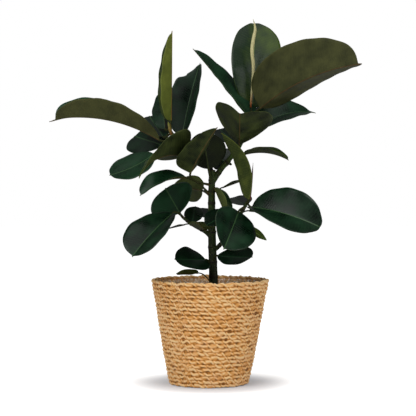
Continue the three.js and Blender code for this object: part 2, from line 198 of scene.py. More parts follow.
def grid_faces(rows: int, columns: int, first: int = 0, closed: bool = False,
               flip: bool = False) -> list[tuple[int, ...]]:
    """The faces of a grid of points that is numbered row by row.

    Args:
        rows: How many rows of points.
        columns: How many points in a row.
        first: The number of the first point.
        closed: Whether each row runs round to its own start.
        flip: Whether the faces turn the other way.

    Returns:
        The faces. Unflipped, they face along the columns' way crossed with the rows' way.
    """
    faces = []
    for i in range(rows - 1):
        for j in range(columns if closed else columns - 1):
            k = (j + 1) % columns
            quad = (first + i * columns + j, first + i * columns + k,
                    first + (i + 1) * columns + k, first + (i + 1) * columns + j)
            faces.append(quad[::-1] if flip else quad)
    return faces


def stack_faces(rings: int, columns: int, first: int = 0,
                flip: bool = False) -> list[tuple[int, ...]]:
    """The faces of a stack of closed rings of points, with a face over each end.

    Args:
        rings: How many rings.
        columns: How many points in a ring.
        first: The number of the first point.
        flip: Whether the faces turn the other way.

    Returns:
        The faces.
    """
    start = tuple(range(first, first + columns))
    end = tuple(number + (rings - 1) * columns for number in start)
    ends = [start, end[::-1]] if flip else [start[::-1], end]
    return grid_faces(rings, columns, first, closed=True, flip=flip) + ends


def turn_angles(columns: int) -> np.ndarray:
    """Even angles for one turn."""
    return np.linspace(0, 2 * np.pi, columns, endpoint=False)


def round_points(radius: Any, height: Any, theta: np.ndarray,
                 centre: tuple[float, float] = (0.0, 0.0)) -> np.ndarray:
    """Points about an upright axis.

    Args:
        radius: Their distance from the axis, one for all or one for each.
        height: Their height, one for all or one for each.
        theta: Their angles.
        centre: The axis.

    Returns:
        One point for each angle.
    """
    return np.column_stack([centre[0] + radius * np.cos(theta), centre[1] + radius * np.sin(theta),
                            height * np.ones_like(theta)])


def unit(v: np.ndarray) -> np.ndarray:
    """The vectors at length 1."""
    return v / np.linalg.norm(v, axis=-1, keepdims=True)


def square_to(tangent: np.ndarray, wanted: np.ndarray) -> tuple[np.ndarray, np.ndarray]:
    """Finds directions square to tangents.

    Args:
        tangent: Unit tangents.
        wanted: The direction that the first one stays near.

    Returns:
        The side and the normal directions.
    """
    wanted = np.broadcast_to(wanted, tangent.shape)
    side = unit(wanted - tangent * np.sum(wanted * tangent, axis=-1, keepdims=True))
    return side, np.cross(side, tangent)


def spline(through: Sequence[Point], t: np.ndarray) -> np.ndarray:
    """Points on the smooth curve through given points, as the solids' stems run.

    Args:
        through: The points that it passes.
        t: Shares of the way along, from 0 to 1.

    Returns:
        One point for each share.
    """
    p = np.asarray(through, float)
    p = np.vstack([2 * p[0] - p[1], p, 2 * p[-1] - p[-2]])
    place = np.clip(t, 0, 1) * (len(through) - 1)
    i = np.minimum(place.astype(int), len(through) - 2)
    w = (place - i)[:, None]
    a, b, c, d = p[i], p[i + 1], p[i + 2], p[i + 3]
    start, end = 0.5 * (c - a), 0.5 * (d - b)
    return (b + start * w + (-3 * b + 3 * c - 2 * start - end) * w ** 2
            + (2 * b - 2 * c + start + end) * w ** 3)


def tangents(points: np.ndarray) -> np.ndarray:
    """The unit tangents of a row of points."""
    return unit(np.gradient(points, axis=0))


def tube(points: np.ndarray, radii: np.ndarray, sides: int,
         first: int = 0) -> tuple[np.ndarray, list[tuple[int, ...]]]:
    """A closed round tube along a row of points.

    Args:
        points: Its middle line.
        radii: Its radius at each point.
        sides: How many points to a ring.
        first: The number of its first point.

    Returns:
        The points and the faces.
    """
    side, normal = square_to(tangents(points), np.array([0.12, -1.0, 0.07]))
    angle = turn_angles(sides)
    ring = (side[:, None] * np.cos(angle)[None, :, None]
            + normal[:, None] * np.sin(angle)[None, :, None])
    body = points[:, None] + ring * radii[:, None, None]
    return body.reshape(-1, 3), stack_faces(len(points), sides, first, flip=True)


def smooth_step(x: np.ndarray, low: float, high: float) -> np.ndarray:
    """Goes smoothly from 0 at low to 1 at high."""
    t = np.clip((x - low) / (high - low), 0, 1)
    return t * t * (3 - 2 * t)


# ---------------------------------------------------------------- stems


class Limb(Enum):
    """The stem's five limbs: the points that each passes, its two radii and its rings' count."""

    TRUNK = (((8, 0, 150), (7, 0, 228), (4, 0, 316), (3, 0, 404), (4, 0, 470)), (10, 6.5), 11)
    LEFT_CROWN = (((4, 2, 456), (-3, 10, 478), (-34, 22, 508), (-82, 12, 546), (-90, 9, 566)),
                  (5.2, 3.8), 5)
    RIGHT_CROWN = (((3, 0, 440), (22, -3, 469), (44, -6, 496), (63, -10, 521), (80, -15, 562),
                    (88, -20, 602)), (6, 3.8), 6)
    RIGHT_SIDE = (((4, 0, 290), (20, -12, 304), (48, -24, 342), (71, -28, 382), (81, -28, 400)),
                  (4.6, 3.4), 4)
    LEFT_SIDE = (((3, 0, 318), (-12, -3, 333), (-36, -10, 347), (-56, -12, 362), (-62, -12, 368)),
                 (3.2, 2.8), 3)

    def at(self, t: np.ndarray) -> np.ndarray:
        """The limb's middle line at shares of its length."""
        return spline(self.value[0], np.atleast_1d(np.asarray(t, float)))

    def radius(self, t: np.ndarray) -> np.ndarray:
        """The limb's plain radius at shares of its length."""
        thick, thin = self.value[1]
        return thick + (thin - thick) * np.asarray(t, float)


@dataclass(frozen=True)
class GreenBark:
    """Young rubber-plant bark: green tissue that corks over to brown from the soil upwards.

    It grew with ring scars at each node and with pale pores, so it looks dark and dull, with
    fine upright streaks and a browner band where a leaf once stood.
    """

    young: str = "#2e4112"
    old: str = "#1c230c"
    pore: str = "#8a7d52"
    scar: str = "#0a0604"
    cork: str = "#2c1c10"
    streak_mm: float = 2.2
    pore_mm: float = 5.0
    patch_mm: float = 16.0
    old_height: float = 0.24  # metres; below it all is corked, and above the next all is green
    young_height: float = 0.5

    def surface(self) -> bpy.types.Material:
        """Builds the material.

        Returns:
            The material.
        """
        material, tree, shader, place = new_surface("green_bark")
        height = add_node(tree, "SeparateXYZ", {0: place}).outputs["Z"]
        age = add_node(tree, "MapRange", {0: height, 1: self.old_height, 2: self.young_height})
        upright = add_node(tree, "Mapping", {0: place, 3: (1, 1, 0.22)})
        streak = add_node(tree, "TexNoise", {0: upright, "Scale": scale_of(self.streak_mm),
                                             "Detail": 6.0})
        patch = add_node(tree, "TexNoise", {0: place, "Scale": scale_of(self.patch_mm),
                                            "Detail": 3.0})
        pore = add_node(tree, "TexVoronoi", {0: place, "Scale": scale_of(self.pore_mm)})
        spot = add_node(tree, "MapRange", {0: pore, 1: 0.1, 2: 0.22, 3: 1.0, 4: 0.0})
        aged = add_node(tree, "Mix", {0: age, 6: self.old, 7: self.young}, data_type="RGBA")
        shade = add_node(tree, "MapRange", {0: streak, 1: 0.3, 2: 0.7, 3: 0.15, 4: 1.9})
        streaked = add_node(tree, "Mix", {0: 1.0, 6: aged, 7: shade}, data_type="RGBA",
                            blend_type="MULTIPLY")
        seen = add_node(tree, "Math", {0: spot, 1: patch}, operation="MULTIPLY")
        colour = add_node(tree, "Mix", {0: seen, 6: streaked, 7: self.pore}, data_type="RGBA")
        ring = add_node(tree, "Attribute", attribute_name="ring").outputs["Fac"]
        for power, share, over in ((4.0, 0.6, self.cork), (26.0, 0.9, self.scar)):
            near = add_node(tree, "Math", {0: ring, 1: power}, operation="POWER")
            broken = add_node(tree, "Math", {0: near, 1: patch}, operation="MULTIPLY")
            mask = add_node(tree, "MapRange", {0: broken, 1: 0.0, 2: 0.5, 3: 0.0, 4: share})
            colour = add_node(tree, "Mix", {0: mask, 6: colour, 7: over}, data_type="RGBA")
        bump = add_node(tree, "Bump", {"Height": streak, "Strength": 0.5, "Distance": 0.0006})
        set_inputs(shader, {"Base Color": colour, "Normal": bump, "Roughness": 0.6,
                            "Specular IOR Level": 0.25})
        return material


@dataclass
class Stem:
    """The trunk with its limbs, grown as one piece, with a ring scar at every node."""

    voxel_mm: float = 0.75
    cork: float = 1.07
    swell: float = 0.09
    scar_height: float = 0.45
    scar_sharpness: float = 60.0
    sides: int = 28
    steps: int = 120
    spur_steps: int = 12
    spur_ends: tuple[float, float] = (1.25, 0.75)  # a spur's foot and end, of its plain radius
    spurs: tuple[tuple[Point, Point, float], ...] = (
        ((50, -8, 506), (78, -16, 503), 1.7),
        ((66, -11, 531), (77, -4, 533), 1.6),
        ((5, -4, 330), (13, -11, 336), 2.0),
        ((6, 4, 256), (-4, 9, 262), 2.2),
    )

    def limb_points(self, limb: Limb) -> tuple[np.ndarray, np.ndarray]:
        """A limb's middle line and its radii, with the nodes' swellings and scars.

        Args:
            limb: The limb.

        Returns:
            The points and their radii.
        """
        t = np.linspace(0, 1, self.steps)
        wave = np.maximum(0, np.cos(2 * np.pi * limb.value[2] * t))
        scar = self.scar_height * wave ** self.scar_sharpness
        return limb.at(t), limb.radius(t) * self.cork * (1 + self.swell * wave ** 4) + scar

    def build(self) -> None:
        """Joins the limbs and spurs into one skin."""
        points: list[np.ndarray] = []
        faces: list[tuple[int, ...]] = []
        parts = [self.limb_points(limb) for limb in Limb]
        where = KDTree(self.steps * len(Limb))
        waves: list[float] = []
        for limb, (line, _) in zip(Limb, parts):
            for point, t in zip(line, np.linspace(0, 1, self.steps)):
                where.insert(point * MM, len(waves))
                waves.append(max(0.0, math.cos(2 * math.pi * limb.value[2] * t)))
        where.balance()
        for start, end, radius in self.spurs:
            way = np.linspace(0, 1, self.spur_steps)[:, None]
            parts.append((np.array(start) * (1 - way) + np.array(end) * way,
                          radius * np.linspace(*self.spur_ends, self.spur_steps)))
        count = 0
        for line, radii in parts:
            body, skin = tube(line, radii, self.sides, count)
            points.append(body)
            faces += skin
            count += len(body)
        rough = mesh_object("stem_rough", np.vstack(points), faces, [])
        merge = rough.modifiers.new("merge", "REMESH")
        merge.mode = "VOXEL"
        merge.voxel_size = self.voxel_mm * MM
        soften = rough.modifiers.new("soften", "SMOOTH")
        soften.factor, soften.iterations = 0.5, 2
        graph = bpy.context.evaluated_depsgraph_get()
        mesh = bpy.data.meshes.new_from_object(rough.evaluated_get(graph))
        bpy.data.objects.remove(rough)
        mesh.polygons.foreach_set("use_smooth", np.ones(len(mesh.polygons), bool))
        mesh.materials.clear()
        mesh.materials.append(GreenBark().surface())
        ring = mesh.attributes.new("ring", "FLOAT", "POINT")
        ring.data.foreach_set("value", [waves[where.find(v.co)[1]] for v in mesh.vertices])
        stem = bpy.data.objects.new("stem_bark", mesh)
        bpy.context.scene.collection.objects.link(stem)
        hand_over(stem, "bark", "stem")


# ---------------------------------------------------------------- leaf finishes


@dataclass(frozen=True)
class WaxyFace:
    """The upper face of a rubber-plant blade: a thick cuticle of wax over dark green tissue.

    It grew smooth, so it takes broad soft highlights. The midrib is a pale groove and the side
    veins leave it nearly square, a few millimetres apart, as faint lighter lines.
    """

    name: str
    dark: str
    light: str
    vein: str
    rib: str
    vein_mm: float = 6.0
    roughness: float = 0.29
    relief: float = -0.14

    def surface(self) -> bpy.types.Material:
        """Builds the material."""
        return blade_surface(self, vein_share=0.12, coat=0.06, gloss_level=0.26)


@dataclass(frozen=True)
class MattFace:
    """The lower face of a blade: bare tissue with no thick wax, olive and brown.

    The rib and the veins stand out of it, so it looks dull, with fine parallel lines.
    """

    name: str
    dark: str
    light: str
    vein: str
    rib: str
    vein_mm: float = 4.0
    roughness: float = 0.58
    relief: float = 0.3

    def surface(self) -> bpy.types.Material:
        """Builds the material."""
        return blade_surface(self, vein_share=0.2, coat=0.0, gloss_level=0.14)


# What both faces share: the petiole's colour and the real sizes of their patterns.
STALK = "#33381a"
MOTTLE_MM = 34.0
GRAIN_MM = 1.6  # coarser than the real cells, so that it shows
VEIN_LEAN = -0.32  # millimetres towards the tip for each millimetre out
VEIN_WAVER = 5.0
VEIN_HALF_WIDTH = 0.17  # of the run from vein to vein
RIB_EDGE_MM = (0.6, 1.9)


def blade_surface(face: WaxyFace | MattFace, vein_share: float, coat: float,
                  gloss_level: float) -> bpy.types.Material:
    """Builds a blade's material from the place on the blade that each point carries.

    Args:
        face: The finish, with its colours, the run from vein to vein and the veins' relief.
        vein_share: How much of the vein's colour shows.
        coat: How much clear wax lies on it.
        gloss_level: How strongly the tissue itself mirrors.

    Returns:
        The material.
    """
    material, tree, shader, place = new_surface(face.name)
    blade = add_node(tree, "Attribute", attribute_name="blade").outputs["Vector"]
    tone = add_node(tree, "Attribute", attribute_name="tone").outputs["Fac"]
    axes = add_node(tree, "SeparateXYZ", {0: blade})
    out = add_node(tree, "Math", {0: axes}, operation="ABSOLUTE")
    mottle = add_node(tree, "TexNoise", {0: place, "Scale": scale_of(MOTTLE_MM), "Detail": 4.0})
    grain = add_node(tree, "TexNoise", {0: place, "Scale": scale_of(GRAIN_MM), "Detail": 3.0})

    # The side veins: lines a set distance apart that lean towards the tip as they run out.
    lean = add_node(tree, "Math", {0: out, 1: VEIN_LEAN, 2: axes.outputs[1]},
                    operation="MULTIPLY_ADD")
    waver = add_node(tree, "Math", {0: mottle, 1: VEIN_WAVER, 2: lean}, operation="MULTIPLY_ADD")
    away = add_node(tree, "Math", {0: waver, 1: face.vein_mm / 2}, operation="PINGPONG")
    line = add_node(tree, "MapRange", {0: away, 1: 0.0, 2: face.vein_mm * VEIN_HALF_WIDTH, 3: 1.0,
                                       4: 0.0}, interpolation_type="SMOOTHSTEP")
    fade = add_node(tree, "MapRange", {0: axes.outputs[2], 1: 0.7, 2: 0.96, 3: 1.0, 4: 0.0})
    vein = add_node(tree, "Math", {0: line, 1: fade}, operation="MULTIPLY")
    midrib = add_node(tree, "MapRange", {0: out, 1: RIB_EDGE_MM[0], 2: RIB_EDGE_MM[1], 3: 0.75,
                                         4: 0.0}, interpolation_type="SMOOTHSTEP")
    margin = add_node(tree, "MapRange", {0: axes.outputs[2], 1: 0.95, 2: 1.0, 3: 0.0, 4: 0.35})
    stalk = add_node(tree, "MapRange", {0: axes.outputs[1], 1: -4.0, 2: -0.5, 3: 1.0, 4: 0.0})

    spread = add_node(tree, "MapRange", {0: mottle, 1: 0.3, 2: 0.7, 3: -0.36, 4: 0.32})
    share = add_node(tree, "Math", {0: spread, 1: tone}, operation="ADD", use_clamp=True)
    shown = add_node(tree, "Math", {0: vein, 1: vein_share}, operation="MULTIPLY")
    colour = add_node(tree, "Mix", {0: share, 6: face.dark, 7: face.light}, data_type="RGBA")
    for mask, over in ((shown, face.vein), (margin, face.vein), (midrib, face.rib),
                       (stalk, STALK)):
        colour = add_node(tree, "Mix", {0: mask, 6: colour, 7: over}, data_type="RGBA")

    fine = add_node(tree, "Math", {0: grain, 1: 0.16}, operation="MULTIPLY")
    height = add_node(tree, "Math", {0: vein, 1: face.relief, 2: fine}, operation="MULTIPLY_ADD")
    bump = add_node(tree, "Bump", {"Height": height, "Strength": 0.5, "Distance": 0.0009})
    gloss = add_node(tree, "MapRange", {0: mottle, 1: 0.3, 2: 0.7, 3: face.roughness - 0.05,
                                        4: face.roughness + 0.09})
    set_inputs(shader, {"Base Color": colour, "Roughness": gloss, "Normal": bump,
                        "Specular IOR Level": gloss_level, "Coat Weight": coat,
                        "Coat Roughness": 0.3})
    return material


class Age(Enum):
    """How old a leaf is, with the finishes of its two faces and its slot in the record."""

    OLD = (WaxyFace("old_leaf_wax", "#011507", "#0b3017", "#1d4727", "#21492a"),
           MattFace("old_leaf_underside", "#11180a", "#2a3216", "#37431f", "#3c4624"), "leaf")
    MATURE = (WaxyFace("mature_leaf_wax", "#03160a", "#1d4328", "#3a5c3c", "#46663f"),
              MattFace("mature_leaf_underside", "#161b09", "#4d4f2b", "#5c5e38", "#63472c"), "leaf")
    FRESH = (WaxyFace("fresh_leaf_wax", "#0d260f", "#495c1e", "#5d7434", "#6a8040"),
             MattFace("fresh_leaf_underside", "#0d1705", "#4f5a2b", "#66713d", "#5c4c2a"), "leaf")
    TENDER = (WaxyFace("tender_leaf_wax", "#0d260f", "#495c1e", "#5d7434", "#6a8040"),
              MattFace("tender_leaf_underside", "#2f3a14", "#66702c", "#79843c", "#5a6228"),
              "leaf_young")
    YOUNG = (WaxyFace("young_leaf_wax", "#18260a", "#3c4c1a", "#4f6224", "#6d6a2c", vein_mm=5.0),
             MattFace("young_leaf_underside", "#343f15", "#7a8436", "#8f9850", "#a06a32",
                      vein_mm=3.4), "leaf_young")


# ---------------------------------------------------------------- leaves


@dataclass(frozen=True)
class Leaf:
    """One leaf: its petiole's node on a limb, its midrib's ends and the form of its blade.

    fold is how far each half rises from flat and cup the further rise at the margin, in degrees.
    arch and sway bow the midrib, twist turns the tip end, and belly moves the widest place.
    tone is 0 for the darkest tissue and 1 for the lightest, and lean makes the right half lighter
    than the left. hook drops the last of the tip, a lower blunt makes a rounder outline, drip is
    the length's share in the narrow tip, and notch lifts the blade's two shoulders past it. left
    widens the left half, and torn gives its share of the full width at some places.
    """

    limb: Limb
    share: float
    base: Point
    tip: Point
    width: float
    face: Point
    fold: float
    age: Age = Age.MATURE
    tone: float = 0.5
    arch: float = 0.0
    sway: float = 0.0
    cup: float = 0.0
    twist: float = 0.0
    belly: float = 0.95
    hook: float = 0.0
    blunt: float = 0.52
    drip: float = 0.028
    notch: float = 0.0
    lean: float = 0.0
    left: float = 1.0
    torn: tuple[tuple[float, float], ...] = ()

    def axes(self) -> tuple[np.ndarray, np.ndarray, np.ndarray]:
        """The leaf's own directions.

        Returns:
            The run from its base to its tip, and the directions up and right of that run.
        """
        chord = np.array(self.tip, float) - np.array(self.base, float)
        ahead = chord / np.linalg.norm(chord)
        face = np.array(self.face, float)
        up = unit(face - ahead * face.dot(ahead))
        return chord, up, np.cross(ahead, up)


T, LC, RC, RS, LS = Limb.TRUNK, Limb.LEFT_CROWN, Limb.RIGHT_CROWN, Limb.RIGHT_SIDE, Limb.LEFT_SIDE
OLD, MATURE, FRESH, TENDER, YOUNG = Age

LEAVES: dict[str, Leaf] = {
    "left_crown_leaf_1": Leaf(LC, 0.7, (-113, 4, 536), (-352, -20, 579), 116, (0.17, 0.05, 0.98),
                              52, MATURE, 0.92, arch=23, cup=-2, belly=1.54, hook=4, blunt=0.4,
                              drip=0.06, twist=10, left=1.03),
    "left_crown_leaf_2": Leaf(LC, 0.64, (-104, 44, 524), (-174, 140, 547), 104, (0, -0.88, 0.48),
                              10, MATURE, 0.3, belly=1.1, blunt=0.45),
    "left_crown_leaf_3": Leaf(LC, 0.5, (-125, 26, 505), (-222, 0, 458), 95, (-0.19, -0.63, 0.75),
                              7, MATURE, 0.6, cup=-14, blunt=0.41, belly=1.16, left=0.84,
                              twist=-4, arch=-6, sway=-2),
    "left_crown_leaf_4": Leaf(LC, 0.74, (-54, -34, 500), (-151, -130, 452), 127,
                              (-0.64, 0.29, 0.71), 29, FRESH, 0.42, arch=20, belly=0.35,
                              blunt=1.24, twist=16, sway=-7, cup=-3),
    "left_crown_leaf_5": Leaf(LC, 1, (-87, 12, 578), (-84, 10, 776), 68, (-1, -0.18, 0), 55,
                              YOUNG, 0.55, belly=0.72),
    "left_crown_leaf_6": Leaf(LC, 0.56, (-62, 30, 546), (-23, 92, 711), 112, (-0.44, -0.8, 0.41),
                              44, MATURE, 0.25, cup=-11, belly=0.92, torn=((0, 1), (0.7, 1),
                              (0.74, 0.96), (0.78, 0.6), (0.82, 0.62), (0.86, 0.5), (0.9, 0.36),
                              (0.95, 0.28), (1, 0.2)), blunt=0.42, left=0.86, twist=8, sway=-3),
    "left_crown_leaf_7": Leaf(LC, 0.92, (-100, 34, 561), (-116, 120, 646), 60,
                              (-0.8, -0.49, 0.34), 38, MATURE, 0.5, belly=0.85, blunt=0.55,
                              left=0.91, twist=10, arch=-2, cup=2),
    "left_crown_leaf_8": Leaf(LC, 0.8, (-104, 34, 543), (-140, 140, 593), 65, (0, -0.6, 0.8), 15,
                              MATURE, 0.3),
    "right_crown_leaf_1": Leaf(RC, 0.95, (108, -44, 603), (314, -190, 690), 184,
                               (0.24, 0.73, 0.64), 50, MATURE, 0.62, arch=10, sway=15, cup=-3,
                               belly=0.65, blunt=0.37, drip=0.035, twist=-4),
    "right_crown_leaf_2": Leaf(RC, 0.68, (90, 6, 553), (238, 90, 598), 110, (-0.02, -0.45, 0.89),
                               30, MATURE, 0.5, arch=18, cup=-19, drip=0.09, blunt=0.64,
                               left=0.95, twist=-8, sway=-2),
    "right_crown_leaf_3": Leaf(RC, 0.58, (63, -26, 525), (62, -150, 589), 156, (0.2, 0.45, 0.87),
                               39, FRESH, 0.38, cup=-7, belly=0.92, twist=4, arch=2),
    "right_crown_leaf_4": Leaf(RC, 1, (90, -4, 606), (98, 70, 797), 126, (0.06, -0.92, 0.38), 18,
                               FRESH, 0.2, arch=22, cup=-11, lean=1.0, left=0.81, blunt=0.41,
                               notch=8, belly=1.12, twist=2),
    "right_crown_leaf_5": Leaf(RC, 0.92, (82, -36, 588), (-38, -10, 735), 100,
                               (0.73, -0.41, 0.55), 20, MATURE, 0.4, belly=0.52, twist=-5, sway=3,
                               cup=-4, left=1.07, blunt=0.42),
    "right_crown_leaf_6": Leaf(RC, 0.6, (58, 8, 524), (20, 80, 562), 60, (0, -0.5, 0.85), 15, OLD,
                               0.0),
    "right_crown_leaf_7": Leaf(RC, 0.52, (74, -8, 504), (171, -30, 491), 61, (0.12, -0.08, 0.99),
                               26, FRESH, 0.4, arch=10, belly=0.99, blunt=0.44, cup=-3),
    "centre_leaf_1": Leaf(T, 0.87, (-43, -46, 463), (15, -130, 560), 83, (-0.36, 0.58, 0.72), 41,
                          FRESH, 0.3, belly=0.42, blunt=0.55, sway=4, cup=-2),
    "centre_leaf_2": Leaf(T, 0.9, (-4, -22, 472), (-16, -40, 553), 90, (0.15, 0.9, 0.4), 22, OLD,
                          0.0, cup=-10, lean=-0.5),
    "centre_leaf_3": Leaf(RC, 0.34, (43, 16, 483), (9, 30, 500), 60, (-0.1, -0.85, 0.5), 12, OLD,
                          0.0),
    "right_side_leaf_1": Leaf(RS, 1, (90, -44, 389), (232, -130, 349), 124, (-0.05, -0.49, 0.87),
                              31, MATURE, 0.3, arch=8, blunt=0.3, twist=-37, belly=1.09,
                              left=0.94, notch=8, cup=2),
    "right_side_leaf_2": Leaf(RS, 0.8, (61, -52, 379), (28, -140, 302), 105, (0.49, -0.67, 0.56),
                              23, MATURE, 0.3, cup=-14, belly=0.99, blunt=0.54, left=1.04,
                              twist=6, arch=2),
    "right_side_leaf_3": Leaf(RS, 0.96, (83, -43, 406), (23, -75, 549), 66, (-0.64, 0.76, -0.1),
                              65, TENDER, 0.1, arch=-19, sway=-24, belly=0.78, twist=-5),
    "right_side_leaf_4": Leaf(RS, 0.7, (86, -6, 380), (172, 30, 370), 42, (0, -0.3, 0.95), 10,
                              OLD, 0.5),
    "right_side_leaf_5": Leaf(RS, 0.88, (77, -5, 392), (52, 86, 408), 56, (0, -0.7, 0.7), 12, OLD,
                              0.0),
    "right_side_leaf_6": Leaf(RS, 0.5, (70, -8, 352), (123, -24, 316), 22, (0, -0.6, 0.8), 10,
                              FRESH, 0.8),
    "left_side_leaf_1": Leaf(LS, 0.85, (-81, -34, 376), (-167, -110, 284), 108,
                             (-0.37, -0.51, 0.77), 26, MATURE, 0.15, cup=-17, belly=1.26,
                             blunt=0.42, twist=14, arch=5, left=0.93),
    "left_side_leaf_2": Leaf(LS, 1, (-67, -3, 375), (-101, 75, 429), 108, (-0.5, -0.5, 0.7), 15,
                             MATURE, 0.55, cup=-14),
    "left_side_leaf_3": Leaf(LS, 0.6, (-40, 6, 353), (-33, 68, 388), 44, (0, -0.6, 0.8), 10, OLD,
                             0.5),
    "left_side_leaf_4": Leaf(LS, 0.55, (-56, -34, 351), (-92, -50, 342), 30, (0, 0.05, 1), 8,
                             OLD, 0.3),
    "trunk_leaf_1": Leaf(T, 0.79, (-52, -24, 452), (-152, -60, 414), 76, (-0.23, -0.33, 0.91), 30,
                         MATURE, 0.6, arch=13, cup=-16, belly=1, blunt=0.46, left=1.02, twist=5,
                         sway=-2),
    # trunk_leaf_2's tone above 1 is painted light: the leaf is lifted past its lightest tissue, as
    # it lies in shade behind the stem.
    "trunk_leaf_2": Leaf(T, 0.78, (-18, 20, 424), (-85, 130, 436), 66, (0.5, 0.85, -0.1), 25,
                         FRESH, 1.1),
    "trunk_leaf_3": Leaf(T, 0.79, (10, -16, 430), (36, -40, 366), 56, (0.85, -0.22, 0.5), 45,
                         FRESH, 0.45, lean=1.2),
    "trunk_leaf_4": Leaf(T, 0.8, (27, 18, 431), (74, 60, 446), 34, (0, 0.45, 0.9), 10,
                         FRESH, 0.4),
    "trunk_leaf_5": Leaf(T, 0.55, (-10, -20, 338), (-30, -68, 358), 56, (0.3, 0.85, 0.4), 10,
                         FRESH, 0.5),
    "trunk_leaf_6": Leaf(T, 0.62, (-8, 20, 364), (-23, 80, 384), 40, (0, -0.5, 0.85), 10, OLD, 0.0),
    "trunk_leaf_7": Leaf(RS, 0.55, (40, -44, 378), (-9, -80, 350), 58, (0, -0.6, 0.8), 10,
                         OLD, 0.1),
    "low_leaf_1": Leaf(T, 0.37, (16, -18, 282), (91, -70, 282), 64, (-0.34, -0.48, 0.81), 5, OLD,
                       0.25, belly=1.15, arch=-4, sway=-3, blunt=0.5, cup=2),
    "low_leaf_2": Leaf(T, 0.35, (-10, -14, 273), (-78, -60, 277), 81, (0.35, -0.45, 0.82), 6, OLD,
                       0.25, blunt=0.46, twist=2, arch=3, sway=-5),
    "low_leaf_3": Leaf(T, 0.22, (-27, -32, 245), (-74, -60, 246), 34, (0, 0.5, 0.85), 10, FRESH,
                       0.9),
}


